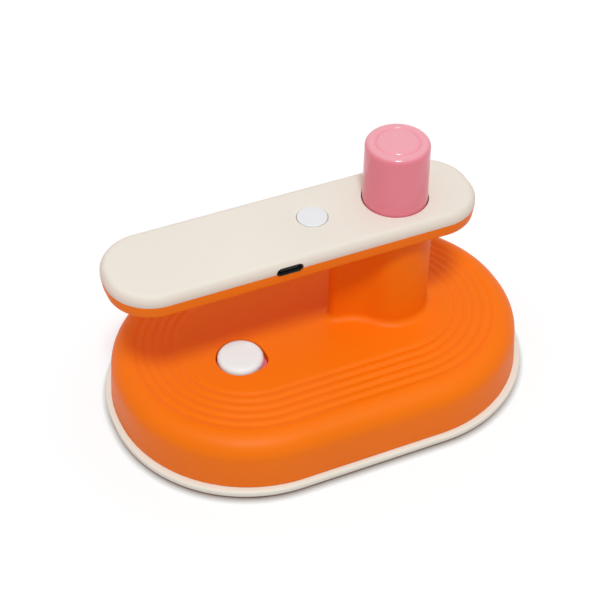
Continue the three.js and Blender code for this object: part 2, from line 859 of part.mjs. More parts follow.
function inletTube() {
  const start = tankEnd + seat;
  const end = columnX - barrelRadius - seat;
  const outer = lyingRod(tubeBore + tubeWall, start, end, 0, tubeHeight);
  return outer.subtract(lyingRod(tubeBore, start - cut, end + cut, 0, tubeHeight));
}

function fillerPlug() {
  const stemFoot = fillerHeadFoot - fillerStemLength;
  const profile = [
    [0, stemFoot],
    [fillerStemRadius - fillerStemChamfer, stemFoot],
    [fillerStemRadius, stemFoot + fillerStemChamfer],
    [fillerStemRadius, fillerHeadFoot],
    [fillerRadius, fillerHeadFoot],
    [fillerRadius, fillerTop - fillerEdge],
    [fillerRadius - fillerEdge, fillerTop],
    [0, fillerTop],
  ];
  return turned(profile, visibleSides, fillerX, fillerY);
}

function fillerSeal() {
  const low = fillerLedge + seat;
  const high = low + fillerSealThickness;
  const body = wellSlab(fillerWellRadius - seat, low, high);
  return body.subtract(rod(fillerBore, low - cut, high + cut, fillerX, fillerY, hiddenSides));
}

// ---- Pump -----------------------------------------------------------------------------------

function pumpKnob() {
  const straight = pumpTop - pumpEdgeRadius;
  const steps = edgeRound(pumpEdgeRadius, edgeSteps);
  const edge = steps.map(({ inset, rise }) => [pumpTopRadius - inset, straight + rise]);
  const socket = rodRadius + seam;
  const profile = [
    [0, pumpCeiling],
    [socket, pumpCeiling],
    [socket, bossFoot],
    [pumpBossRadius, bossFoot],
    [pumpBossRadius, pumpCeiling],
    [pumpInnerRadius, pumpCeiling],
    [pumpInnerRadius, pumpBottom],
    [pumpFlangeRadius, pumpBottom],
    [pumpFlangeRadius, pumpFlangeTop],
    [pumpRadius, pumpFlangeTop],
    [pumpRadius, gripTop],
    ...edge,
    [pumpRingOuter, pumpTop],
    [pumpRingOuter - pumpRingSlope, pumpTop - pumpRingDepth],
    [pumpRingInner + pumpRingSlope, pumpTop - pumpRingDepth],
    [pumpRingInner, pumpTop],
    [0, pumpTop],
  ];
  return turned(profile, visibleSides, columnX, 0);
}

function pistonRod() {
  const top = pumpCeiling - seat;
  const grooveFoot = pistonRestHeight + (pistonHeight - pistonGrooveHeight) / 2;
  const grooveRadius = pistonRadius - pistonGrooveDepth;
  const pistonTop = pistonRestHeight + pistonHeight;
  const profile = [
    [0, pistonRestHeight],
    [pistonRadius, pistonRestHeight],
    [pistonRadius, grooveFoot],
    [grooveRadius, grooveFoot],
    [grooveRadius, grooveFoot + pistonGrooveHeight],
    [pistonRadius, grooveFoot + pistonGrooveHeight],
    [pistonRadius, pistonTop],
    [rodRadius, pistonTop],
    [rodRadius, top],
    [0, top],
  ];
  return turned(profile, hiddenSides, columnX, 0);
}

function pistonRing() {
  const low = pistonRestHeight + (pistonHeight - pistonGrooveHeight) / 2 + seam;
  const high = low + pistonGrooveHeight - 2 * seam;
  const inner = pistonRadius - pistonGrooveDepth + seam;
  return collar(inner, barrelBoreRadius - seam, low, high, columnX, 0, hiddenSides);
}

function pumpBarrel() {
  const nozzleFoot = boilerFoot + boilerHeight / 2;
  const outletRadius = boilerInletRadius - slip;
  const profile = [
    [outletBore, nozzleFoot],
    [outletRadius, nozzleFoot],
    [outletRadius, barrelHubFoot],
    [barrelRadius, barrelHubFoot],
    [barrelRadius, barrelFlangeFoot],
    [barrelFlangeRadius, barrelFlangeFoot],
    [barrelFlangeRadius, barrelFlangeTop],
    [barrelRadius, barrelFlangeTop],
    [barrelRadius, barrelTop],
    [barrelBoreRadius, barrelTop],
    [barrelBoreRadius, barrelBoreFoot],
    [outletBore, barrelBoreFoot],
    [outletBore, nozzleFoot],
  ];
  const inletEnd = columnX - barrelRadius - nozzleLength;
  const inletStart = columnX - (barrelRadius + barrelBoreRadius) / 2;
  const riserX = columnX - (barrelRadius + outletBore) / 2;
  return pierced(
    joined(
      turned(profile, hiddenSides, columnX, 0),
      lyingRod(nozzleRadius, inletEnd, inletStart, 0, tubeHeight),
    ),
    lyingRod(nozzleBore, inletEnd - cut, riserX, 0, tubeHeight),
    rod(nozzleBore, tubeHeight, barrelBoreFoot + cut, riserX, 0),
  );
}

function barrelGuide() {
  const low = barrelTop + seam;
  const spigotFoot = barrelTop - guideSpigot;
  const profile = [
    [rodRadius + slip, spigotFoot],
    [barrelBoreRadius - seat, spigotFoot],
    [barrelBoreRadius - seat, low],
    [barrelRadius, low],
    [barrelRadius, low + guideThickness],
    [rodRadius + slip, low + guideThickness],
    [rodRadius + slip, spigotFoot],
  ];
  return turned(profile, hiddenSides, columnX, 0);
}

function outletValve() {
  const low = barrelBoreFoot + seam;
  const profile = [
    [0, low - barrelFloor],
    [valveStemRadius, low - barrelFloor],
    [valveStemRadius, low],
    [valveRadius, low],
    [valveRadius, low + valveEdge],
    [0, low + valveThickness],
  ];
  return turned(profile, holeSides, columnX, 0);
}

// One unbroken wire: a flat half turn at each end, and an even climb between them.
function pumpSpring() {
  const low = barrelTop + seam + guideThickness + seat + springWire / 2;
  const high = pumpCeiling - seat - springWire / 2;
  const steps = (springTurns + 2 * springEndTurns) * springSteps;
  const rings = [];
  for (let i = 0; i <= steps; i++) {
    const turn = i / springSteps;
    const climb = THREE.MathUtils.clamp((turn - springEndTurns) / springTurns, 0, 1);
    const angle = turn * 2 * Math.PI;
    const ring = [];
    for (let j = 0; j < springSides; j++) {
      const around = (j / springSides) * 2 * Math.PI;
      const radius = springRadius + (springWire / 2) * Math.cos(around);
      const z = low + (high - low) * climb + (springWire / 2) * Math.sin(around);
      ring.push(new THREE.Vector3(columnX + radius * Math.cos(angle), radius * Math.sin(angle), z));
    }
    rings.push(ring.reverse());
  }
  return loft(rings);
}

// ---- Grip -----------------------------------------------------------------------------------

const gripOval = {
  halfLength: gripHalfLength,
  halfWidth: gripHalfWidth,
  cornerRadius: gripHalfWidth - gripEndFlat,
  x: gripX,
  steps: gripCornerSteps,
};

function portCut() {
  const outside = -gripHalfWidth - cut;
  const inside = -gripHalfWidth + gripWall + gripLipThickness + cut;
  return lyingSlot(portWidth, portHeight, portX, outside, inside, portHeightCentre);
}

function gripLowerShell() {
  const rings = [];
  for (const { inset, rise } of edgeRound(gripLowerRound, edgeSteps - 1).reverse()) {
    rings.push(ovalRing(gripOval, gripDraft + inset, gripUnderside + gripLowerRound - rise));
  }
  rings.push(ovalRing(gripOval, 0, gripSeam - seam / 2));
  rings.push(ovalRing(gripOval, gripWall, gripSeam - seam / 2));
  rings.push(ovalRing(gripOval, gripWall, gripFloorTop));
  let body = loft(rings);
  for (const y of [-gripRibY, gripRibY]) {
    const start = gripX - gripHalfLength + gripRibSetback;
    const top = gripFloorTop + gripRibHeight;
    const end = boardStart - gripRibGap;
    const half = gripRibThickness / 2;
    body = body.add(block(start, end, y - half, y + half, gripFloorTop - gripFloor / 2, top));
  }
  for (const x of gripPostX) {
    body = pierced(
      body,
      rod(screwRadius + slip, gripUnderside - cut, gripFloorTop + cut, x, 0),
      rod(screwHeadRadius + slip, gripUnderside - cut, gripUnderside + screwHeadHeight, x, 0, hiddenSides),
    );
  }
  return pierced(
    body,
    rod(neckRadius + slip, gripUnderside - cut, gripFloorTop + cut, columnX, 0, visibleSides),
    rod(wireChannelRadius, gripUnderside - cut, gripFloorTop + cut, webTipX + wireChannelSetback, 0),
    rod(screwRadius + slip, gripUnderside - cut, gripFloorTop + cut, webTipX, 0),
    portCut(),
  );
}

function gripUpperShell() {
  const lipOutside = gripWall + seam;
  const lipInside = lipOutside + gripLipThickness;
  const edgeFoot = gripSeam + seam / 2;
  const lipFoot = gripSeam - gripLipDepth;
  const rings = [
    ovalRing(gripOval, lipInside, gripCeiling),
    ovalRing(gripOval, lipInside, lipFoot),
    ovalRing(gripOval, lipOutside, lipFoot),
    ovalRing(gripOval, lipOutside, edgeFoot),
    ovalRing(gripOval, 0, edgeFoot),
  ];
  for (const { inset, rise } of edgeRound(gripUpperRound, edgeSteps)) {
    rings.push(ovalRing(gripOval, inset, gripTop - gripUpperRound + rise));
  }
  let body = loft(rings);
  for (const x of gripPostX) {
    body = body.add(rod(gripPostRadius, gripFloorTop + seam, gripCeiling + gripRoof / 2, x, 0, hiddenSides));
    body = body.subtract(rod(screwRadius + seat, gripFloorTop, gripCeiling, x, 0));
  }
  return pierced(
    body,
    rod(pumpRadius + slip, gripSeam - cut, gripTop + cut, columnX, 0, visibleSides),
    rod(buttonRadius + slip, gripCeiling - cut, gripTop + cut, buttonX, buttonY, visibleSides),
    portCut(),
  );
}

function columnNut() {
  const inner = neckRadius + nutGap;
  const outer = inner + nutWall;
  const low = gripFloorTop + seam;
  let body = collar(inner, outer, low, low + nutThickness, columnX, 0, visibleSides);
  for (let i = 0; i < nutNotches; i++) {
    const angle = (i / nutNotches) * 2 * Math.PI;
    const notch = new THREE.BoxGeometry(nutNotchWidth, nutNotchWidth, nutThickness);
    notch.translate(outer + nutNotchWidth / 2 - nutNotchDepth, 0, low + nutThickness);
    notch.rotateZ(angle);
    notch.translate(columnX, 0, 0);
    body = body.subtract(solid(notch));
  }
  return body;
}

function powerButton() {
  const top = gripTop + buttonProud;
  const stemFoot = buttonFlangeFoot - buttonStemLength;
  const profile = [
    [0, stemFoot],
    [buttonStemRadius, stemFoot],
    [buttonStemRadius, buttonFlangeFoot],
    [buttonRadius + buttonFlange, buttonFlangeFoot],
    [buttonRadius + buttonFlange, buttonFlangeTop],
    [buttonRadius, buttonFlangeTop],
    [buttonRadius, top - buttonProud],
    [buttonRadius - buttonProud, top],
    [0, top],
  ];
  return turned(profile, visibleSides, buttonX, buttonY);
}

function tactSwitch() {
  const half = switchSize / 2;
  const low = boardTop + seam;
  const high = low + switchHeight;
  const plungerTop = buttonFlangeFoot - buttonStemLength - buttonTravel - seam;
  return joined(
    block(buttonX - half, buttonX + half, buttonY - half, buttonY + half, low, high),
    rod(buttonStemRadius, low + switchHeight / 2, plungerTop, buttonX, buttonY),
  );
}

// The board with its chip, coil and connector. The chip and the coil stand between the switch and
// the connector, one on each side of the middle.
function controlBoard() {
  const oval = {
    halfLength: boardLength / 2,
    halfWidth: boardHalfWidth,
    cornerRadius: boardCornerRadius,
    x: (boardStart + boardEnd) / 2,
    steps: innerCornerSteps,
  };
  const low = boardTop - boardSink;
  const chipEnd = buttonX - switchSize - coilRadius;
  const chipStart = chipEnd - chipSize;
  const connectorStart = boardStart + boardCornerRadius;
  const connectorHalfWidth = connectorWidth / 2;
  return joined(
    ovalSlab(oval, 0, gripFloorTop + seam, boardTop),
    block(chipStart, chipEnd, chipY, chipY + chipSize, low, boardTop + chipHeight),
    rod(coilRadius, low, boardTop + coilHeight, chipEnd, coilY, hiddenSides),
    block(
      connectorStart,
      connectorStart + connectorDepth,
      -connectorHalfWidth,
      connectorHalfWidth,
      low,
      boardTop + connectorHeight,
    ),
  );
}

function portSocket() {
  const width = portWidth - 2 * slip;
  const height = portHeight - slip;
  const front = -gripHalfWidth + portRecess;
  const back = front + portSocketDepth;
  const wall = 2 * portSocketWall;
  const shell = lyingSlot(width, height, portX, front, back, portHeightCentre);
  const mouthEnd = back - portSocketBack;
  const mouth = lyingSlot(width - wall, height - wall, portX, front - cut, mouthEnd, portHeightCentre);
  const tongueReach = width / 2 - portTongueSideGap;
  const tongueHalf = portTongueThickness / 2;
  const tongue = block(
    portX - tongueReach,
    portX + tongueReach,
    front + portTongueRecess,
    back - portSocketWall,
    portHeightCentre - tongueHalf,
    portHeightCentre + tongueHalf,
  );
  return joined(shell.subtract(mouth), tongue);
}

// ---- Cells ----------------------------------------------------------------------------------

function cell(y) {
  const half = cellLength / 2;
  const geometry = new THREE.LatheGeometry(
    [
      [0, -half],
      [cellRadius - cellEdge, -half],
      [cellRadius, -half + cellEdge],
      [cellRadius, half - cellNubLength - cellEdge],
      [cellRadius - cellEdge, half - cellNubLength],
      [cellNubRadius, half - cellNubLength],
      [cellNubRadius, half],
      [0, half],
    ].map(([r, z]) => new THREE.Vector2(r, z)),
    hiddenSides,
  );
  geometry.rotateZ(-Math.PI / 2);
  geometry.translate(0, y, cellHeight);
  return solid(geometry);
}

// ---- Assembly -------------------------------------------------------------------------------

const finish = (color, roughness, metalness = 0) => ({ color, roughness, metalness });
const orange = finish(0xf7751c, 0.5);
const cream = finish(0xeae2d6, 0.5);
const pink = finish(0xe0808d, 0.35);
const white = finish(0xececea, 0.4);
const rubber = finish(0x3a3a3a, 0.9);
const silicone = finish(0xe4727f, 0.7);
const steel = finish(0xb8bcc0, 0.35, 1);
const aluminium = finish(0xc6c8ca, 0.45, 1);
const clear = finish(0xdde6ea, 0.3);
const black = finish(0x161618, 0.5);
const green = finish(0x2c6b45, 0.6);
const wrap = finish(0x3d6fa8, 0.4);

const steamer = new THREE.Group();
steamer.name = 'wallpaper_steamer';

function add(name, body, look) {
  const mesh = new THREE.Mesh(geometryOf(body), new THREE.MeshStandardMaterial(look));
  mesh.name = name;
  steamer.add(mesh);
}

const cornerNames = ['front_left', 'front_right', 'rear_left', 'rear_right'];

add('base_shell', baseShell(), orange);
add('bottom_cover', bottomCover(), cream);
corners(footX, footY).forEach(([x, y], i) => add('foot_' + cornerNames[i], foot(x, y), rubber));
corners(bossX, bossY).forEach(([x, y], i) =>
  add('cover_screw_' + cornerNames[i], screw(x, y, footHeight, 1, screwLength), steel),
);
add('steam_plate', steamPlate(), aluminium);
add('plate_gasket', plateGasket(), silicone);
add('steam_tray', steamTray(), aluminium);
add('boiler_block', boilerBlock(), aluminium);
add('heater_element', heaterRod(heaterRadius, holeSides), steel);
add('thermal_cutout', thermalCutout(), steel);
add('water_tank', waterTank(), clear);
add('inlet_tube', inletTube(), clear);
add('filler_plug', fillerPlug(), white);
add('filler_seal', fillerSeal(), silicone);
add('battery_cell_front', cell(-cellY), wrap);
add('battery_cell_rear', cell(cellY), wrap);
add('pump_knob', pumpKnob(), pink);
add('piston_rod', pistonRod(), steel);
add('piston_ring', pistonRing(), rubber);
add('pump_barrel', pumpBarrel(), clear);
add('barrel_guide', barrelGuide(), clear);
add('outlet_valve', outletValve(), silicone);
add('pump_spring', pumpSpring(), steel);
add('grip_lower_shell', gripLowerShell(), orange);
add('grip_upper_shell', gripUpperShell(), cream);
add('column_nut', columnNut(), black);
add('column_screw', screw(webTipX, 0, columnScrewHead, -1, screwLength), steel);
['left', 'middle', 'right'].forEach((side, i) =>
  add('grip_screw_' + side, screw(gripPostX[i], 0, gripUnderside, 1, gripScrewLength), steel),
);
add('power_button', powerButton(), white);
add('tact_switch', tactSwitch(), black);
add('control_board', controlBoard(), green);
add('charging_socket', portSocket(), black);

export default steamer;
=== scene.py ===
import math
from functools import partial

import bmesh
import bpy
from bpy.props import FloatProperty, FloatVectorProperty, IntProperty, PointerProperty
from bpy.types import NodeSocket, Operator, Panel, PropertyGroup
from mathutils import Matrix, Vector
from mathutils.geometry import delaunay_2d_cdt


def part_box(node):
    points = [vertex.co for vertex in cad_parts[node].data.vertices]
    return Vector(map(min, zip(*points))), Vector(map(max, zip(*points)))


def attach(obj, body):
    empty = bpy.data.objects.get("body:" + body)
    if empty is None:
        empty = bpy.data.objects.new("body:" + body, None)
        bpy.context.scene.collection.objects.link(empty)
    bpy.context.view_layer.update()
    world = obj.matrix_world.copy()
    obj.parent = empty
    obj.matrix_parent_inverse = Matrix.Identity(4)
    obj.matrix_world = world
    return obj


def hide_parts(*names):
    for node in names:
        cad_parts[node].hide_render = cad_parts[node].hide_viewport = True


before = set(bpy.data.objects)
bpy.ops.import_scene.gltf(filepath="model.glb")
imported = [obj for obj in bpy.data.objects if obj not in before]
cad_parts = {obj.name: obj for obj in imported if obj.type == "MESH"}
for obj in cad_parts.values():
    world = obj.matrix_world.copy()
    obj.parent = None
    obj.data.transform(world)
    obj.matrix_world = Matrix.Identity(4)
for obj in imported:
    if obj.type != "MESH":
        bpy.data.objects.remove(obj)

bl_info = {
    "name": "Compact Wallpaper Steamer",
    "version": (1, 0, 0),
    "blender": (4, 5, 0),
    "location": "3D View > Sidebar > Steamer",
    "description": "Dresses the steamer's frame: housing, grip, hand pump, filler, rim, finishes and studio",
    "category": "Object",
}

MM = 0.001
SMALL = 0.3 * MM  # small chamfers, rounds and clearances
CREASE = math.radians(32)
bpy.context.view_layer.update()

BASE_LOW, BASE_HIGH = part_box("base_shell")
RIM_LOW, RIM_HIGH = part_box("bottom_cover")
TRAY_LOW, TRAY_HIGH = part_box("grip_lower_shell")
LID_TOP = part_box("grip_upper_shell")[1].z
KNOB_LOW, KNOB_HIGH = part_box("pump_knob")
PLUG_LOW, PLUG_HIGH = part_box("filler_plug")
SEAL_LOW, SEAL_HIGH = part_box("filler_seal")
BUTTON_LOW, BUTTON_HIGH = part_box("power_button")
INLET_LOW, INLET_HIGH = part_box("charging_socket")
SOLE_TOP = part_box("steam_plate")[1].z


def middles(*nodes):
    """The upright axes of some CAD nodes."""
    return [(sum(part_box(node), Vector()) / 2).to_2d() for node in nodes]


KNOB_AXIS, PLUG_AXIS, BUTTON_AXIS = middles("pump_knob", "filler_plug", "power_button")
CORNERS = ("front_left", "front_right", "rear_left", "rear_right")
COVER_SCREWS = ["cover_screw_" + corner for corner in CORNERS]
GRIP_SCREWS = ["grip_screw_" + place for place in ("left", "middle", "right")]
FEET = ["foot_" + corner for corner in CORNERS]


# ---- Sizes and colours that a user would change ----


def length(name, description, millimetres, low=0.0):
    return FloatProperty(
        name=name, description=description, default=millimetres * MM, min=low, unit="LENGTH", precision=5
    )


def offset(name, description, millimetres):
    return length(name, description, millimetres, -1.0)


def angle(name, description, degrees):
    return FloatProperty(name=name, description=description, default=math.radians(degrees), subtype="ANGLE")


def share(name, description, default):
    return FloatProperty(
        name=name, description=description, default=default, min=0.0, max=1.0, subtype="FACTOR"
    )


def whole(name, description, default):
    return IntProperty(name=name, description=description, default=default, min=1)


def light(name, description, *channels):
    return FloatVectorProperty(
        name=name, description=description, default=channels, min=0.0, max=1.0, subtype="COLOR"
    )


def colour(name, description, *channels):
    """A colour picked as 0 to 255 per channel, kept as scene light."""
    shares = [channel / 255 for channel in channels]
    shares = [s / 12.92 if s <= 0.04045 else ((s + 0.055) / 1.055) ** 2.4 for s in shares]
    return light(name, description, *shares)


class HousingSizes(PropertyGroup):
    corner_radius: length("Corner Radius", "Radius of the oval's ends at the foot of the wall", 50.8)
    edge_height: length("Edge Height", "Height of the top where its round edge ends", 24)
    edge_radius: length("Edge Radius", "Round edge between wall and top", 8)
    draft: length("Draft", "How far the wall leans in on its way up", 0.8)
    wall: length("Wall", "Thickness of the wall", 2.4)
    roof: length("Roof", "Thickness of the top", 2.6)
    crown_rise: length("Crown Rise", "How far the middle of the top stands over its edge", 1.8)
    ripple_count: whole("Ripples", "Number of hollow ripples round the top", 5)
    ripple_inset: length("First Ripple", "From the foot of the wall to the outer ripple's crest", 9.2)
    ripple_pitch: length("Ripple Pitch", "From one ripple's crest to the next at the front", 3.9)
    rear_pitch: length("Rear Pitch", "From one ripple's crest to the next at the rear", 2.8)
    ripple_depth: length("Ripple Depth", "Depth of a ripple under its crests", 0.5)
    column_x: length("Column Position", "The column's axis along the base", 30.1)
    column_radius: length("Column Radius", "Outside of the round column", 13.8)
    column_top: length("Column Top", "Height of the face that carries the grip", 65.9)
    column_foot: length("Column Foot", "Round between the column and the top", 2.6)
    web_length: length("Web Length", "From the column's axis to the centre of the web's tip", 22)
    web_tip: length("Web Tip", "Radius of the web's tip", 3)
    web_flank: length("Web Flank", "Radius of the web's hollow flanks", 18)
    neck_radius: length("Neck Radius", "Outside of the neck that carries the grip", 13.3)
    neck_bore: length("Neck Bore", "Bore round the pump", 12)
    bore: length("Column Bore", "Bore of the column under the neck", 12.45)


class FillerSizes(PropertyGroup):
    well_radius: length("Well Radius", "Radius of the well round the plug", 8.9)
    nail_relief: length("Nail Relief", "How much longer the well is at its nail notch", 1.8)
    notch_way: angle("Notch Way", "Where the nail notch is, from +X towards -Y", 43)
    notch_reach: angle("Notch Reach", "Half of the angle that the nail notch takes up", 46.8)
    well_rim: length("Well Rim", "Round edge of the well", 0.45)
    ledge: length("Ledge", "Height of the well's ledge", 21.2)
    cup_foot: length("Cup Foot", "Height of the well's underside", 19.6)
    cup_wall: length("Cup Wall", "Wall round the well", 1.6)
    bore: length("Filler Bore", "Radius of the hole for the plug's stem", 5.2)
    plug_radius: length("Plug Radius", "Radius of the plug's head", 8.4)
    plug_edge: length("Plug Edge", "Round edge of the plug's head", 1.9)
    stem_radius: length("Stem Radius", "Radius of the plug's stem", 4.9)


class GripSizes(PropertyGroup):
    wall: length("Wall", "Thickness of the grip's side walls", 1.8)
    floor: length("Floor", "Thickness of the tray's floor", 2)
    roof: length("Roof", "Thickness of the lid", 1.7)
    tray_edge: length("Tray Edge", "Round lower edge of the tray", 1)
    lid_edge: length("Lid Edge", "Round upper edge of the lid", 2.9)
    end_flat: length("End Flat", "Half of the straight part at each end of the grip", 1.7)
    draft: length("Draft", "How far the tray's side leans in on its way down", 0.5)
    parting_edge: length("Parting Edge", "Small round on both sides of the seam", 0.12)
    neck_hole: length("Neck Hole", "Radius of the hole for the column's neck", 13.6)
    pump_hole: length("Pump Hole", "Radius of the lid's hole round the pump", 12)
    button_hole: length("Button Hole", "Radius of the lid's hole round the button", 5.62)
    hole_edge: length("Hole Edge", "Round edge of the lid's holes", 0.25)
    port_width: length("Port Width", "Width of the charging slot", 10)
    port_height: length("Port Height", "Height of the charging slot", 3.4)
    port_centre: length("Port Centre", "Height of the middle of the charging slot", 71.4)


class PumpSizes(PropertyGroup):
    radius: length("Radius", "Radius of the knob in the grip", 11.7)
    top_radius: length("Top Radius", "Radius of the knob at its top", 11.45)
    edge_radius: length("Edge Radius", "Round edge of the knob's top", 1.9)
    flange_radius: length("Flange Radius", "Radius of the flange that stops the knob in the column", 12.1)
    flange_height: length("Flange Height", "Thickness of that flange", 2)
    top_thickness: length("Top Thickness", "Thickness of the knob's top", 2.4)
    ring_outer: length("Ring Outside", "Outer radius of the ring on top", 8.4)
    ring_inner: length("Ring Inside", "Inner radius of the ring on top", 6.9)
    ring_depth: length("Ring Depth", "Depth of the ring's groove", 0.43)
    ring_bend: share("Ring Bend", "Share of the groove's side that is round at each end", 0.25)
    wall: length("Wall", "Thickness of the knob's wall", 1.7)


class UndersideSizes(PropertyGroup):
    rim_corner: length("Rim Corner", "Radius of the pale rim's ends", 51.7)
    rim_edge: length("Rim Edge", "Round edges of the pale rim", 0.9)
    rim_top: length("Rim Top", "Height of the pale rim's upper face", 4.3)
    rim_foot: length("Rim Foot", "Height of the pale rim's underside", 1.6)
    sole_half_length: length("Sole Half Length", "Half the length of the steam sole", 55.2)
    sole_half_width: length("Sole Half Width", "Half the width of the steam sole", 29.3)
    sole_corner: length("Sole Corner", "Corner radius of the steam sole", 28.8)
    sole_thickness: length("Sole Thickness", "Thickness of the perforated face", 1.9)
    sole_flange: length("Sole Flange", "Reach of the sole's flange", 3)
    hole_radius: length("Steam Hole", "Radius of a steam hole", 1.6)
    hole_pitch: length("Hole Pitch", "Spacing of the steam holes", 13.5)
    hole_columns: whole("Hole Columns", "Steam holes along the sole", 7)
    hole_rows: whole("Hole Rows", "Steam holes across the sole", 3)
    foot_radius: length("Foot Radius", "Radius of a rubber foot", 4.5)
    foot_edge: length("Foot Edge", "Round edge of a rubber foot", 0.5)
    screw_head: length("Screw Head", "Radius of a screw's head", 2.6)
    screw_shank: length("Screw Shank", "Radius of a screw's shank", 1.2)
    screw_sink: length("Screw Sink", "Depth of a screw's recess", 1.5)


class FinishColours(PropertyGroup):
    orange: colour("Orange", "Housing and tray of the grip", 251, 120, 6)
    cream: colour("Cream", "Lid of the grip and rim", 238, 232, 220)
    # painted shade: the darker cream of the lid's round edge, where less light falls
    rubbed_cream: colour("Painted Cream", "Edge of the lid, where hands hold it", 233, 219, 206)
    pink: colour("Pink", "Pump knob", 242, 131, 147)
    # painted sheen: the paler pink of the knob's top, which stands in for light reflected from above
    rubbed_pink: colour("Painted Pink", "Top of the pump knob, where a palm presses it", 242, 164, 176)
    white: colour("White", "Filler plug", 242, 254, 255)
    cool_white: colour("Cool White", "Power button", 234, 237, 239)
    silicone: colour("Silicone", "Seals", 232, 112, 130)
    rubber: colour("Rubber", "Feet and piston ring", 52, 52, 54)
    black: colour("Black", "Charging slot and nut", 20, 20, 22)
    aluminium: colour("Aluminium", "Sole, tray and boiler", 200, 202, 204)
    steel: colour("Steel", "Screws, spring, heater and rod", 190, 193, 197)
    clear: colour("Natural Plastic", "Tank, tube and pump barrel", 222, 230, 234)
    board: colour("Board", "Solder mask of the control board", 40, 104, 66)
    copper: colour("Copper", "Tracks of the control board", 120, 156, 84)
    wrap: colour("Cell Wrap", "Sleeve of the cells", 58, 106, 164)


class StudioSettings(PropertyGroup):
    key_strength: FloatProperty(
        name="Key Light", description="Strength of the main light", default=1.76, min=0.0
    )
    key_size: angle("Key Size", "Angle of the main light, which sets how soft its shadows are", 11)
    key_way: FloatVectorProperty(
        name="Key Way", description="Where the main light comes from", default=(-7.0, -20.0, 41.0),
        subtype="DIRECTION",
    )
    key_colour: light("Key Colour", "Tint of the main light", 0.686, 1.0, 1.0)
    ambient: share("Ambient", "Strength of the light from above and all round", 0.88)
    above_colour: light("Above Colour", "Tint of the light from above", 1.0, 0.782, 0.782)
    side_colour: light("Side Colour", "Tint of the faint light from the sides", 0.2, 0.05, 0.05)
    bounce: share("Bounce", "How much light the floor throws back at the steamer", 0.7)
    contact: length("Contact", "How far the dark line under the rim reaches over the floor", 2.9)
    contact_falls: FloatVectorProperty(
        name="Contact Falls", description="How fast red, green and blue darken in that line",
        default=(0.88, 1.2, 1.32),
    )
    floor_glow: light("Floor Glow", "Light that the floor adds where the camera sees it", 0.18, 0.19, 0.2)
    azimuth: angle("Azimuth", "Where the camera stands", -23.85)
    elevation: angle("Elevation", "How high the camera stands", 42.52)
    roll: angle("Roll", "How far the camera leans", 0.325)
    distance: length("Distance", "From the camera to its target", 586)
    target: length("Target", "Height of the point that the camera faces", 20)
    aside: offset("Aside", "Moves the camera to its right", -5.72)
    lift: offset("Lift", "Moves the camera up in its own view", 11.76)
    lens: FloatProperty(name="Lens", description="Focal length in millimetres", default=94.77, min=1.0)


# ---- Meshes ----


def oval(half_length, half_width, corner, inset=0.0, height=0.0, x=0.0, y=0.0, steps=24, straight=14):
    """A loop round a rectangle with round corners, drawn in by inset all round."""
    reach_x = half_length - corner
    reach_y = half_width - corner
    radius = corner - inset
    loop = []
    for quarter in range(4):
        side_x = reach_x if quarter in (0, 3) else -reach_x
        side_y = reach_y if quarter < 2 else -reach_y
        for i in range(steps + 1):
            turn = (quarter + i / steps) * math.pi / 2
            loop.append((side_x + radius * math.cos(turn), side_y + radius * math.sin(turn)))
        if quarter in (0, 2) and reach_x > 1e-6:
            flat = loop[-1][1]
            loop.extend((side_x * (1 - 2 * i / straight), flat) for i in range(1, straight))
    kept = [p for i, p in enumerate(loop) if math.dist(p, loop[i - 1]) > 1e-7]
    return [Vector((x + px, y + py, height)) for px, py in kept]


def arc(x, y, radius, start, stop, steps, height):
    """Points of an arc in the plan, without its last one."""
    turns = [start + (stop - start) * i / steps for i in range(steps)]
    return [Vector((x + radius * math.cos(turn), y + radius * math.sin(turn), height)) for turn in turns]


def circle(radius, height, x=0.0, y=0.0, steps=48):
    return arc(x, y, radius, 0.0, 2 * math.pi, steps, height)


def round_edge(radius, steps):
    """How far in and how far up a round edge is, from the wall to the face."""
    turns = [math.pi / 2 * i / steps for i in range(steps + 1)]
    return [(radius * (1 - math.cos(turn)), radius * math.sin(turn)) for turn in turns]


def upper_edge(radius, top, steps, start=0.0):
    """Rings of (inset, height) of a round upper edge, from the wall to the face."""
    return [(start + inset, top - radius + rise) for inset, rise in round_edge(radius, steps)]


def lower_edge(radius, foot, steps, start=0.0):
    """Rings of (inset, height) of a round lower edge, from the face to the wall."""
    return [(start + inset, foot + radius - rise) for inset, rise in reversed(round_edge(radius, steps))]


def inside(point, outline):
    """Whether a point of the plan lies in an outline."""
    x, y = point
    crossings = False
    for i, (x1, y1) in enumerate(outline):
        x0, y0 = outline[i - 1]
        if (y0 > y) != (y1 > y) and x < x0 + (y - y0) * (x1 - x0) / (y1 - y0):
            crossings = not crossings
    return crossings


def near(point, outline, reach):
    """Whether a point of the plan lies within reach of an outline's edges."""
    x, y = point
    for i, (x1, y1) in enumerate(outline):
        x0, y0 = outline[i - 1]
        run_x, run_y = x1 - x0, y1 - y0
        along = ((x - x0) * run_x + (y - y0) * run_y) / (run_x * run_x + run_y * run_y)
        along = min(max(along, 0.0), 1.0)
        if math.hypot(x - x0 - along * run_x, y - y0 - along * run_y) < reach:
            return True
    return False


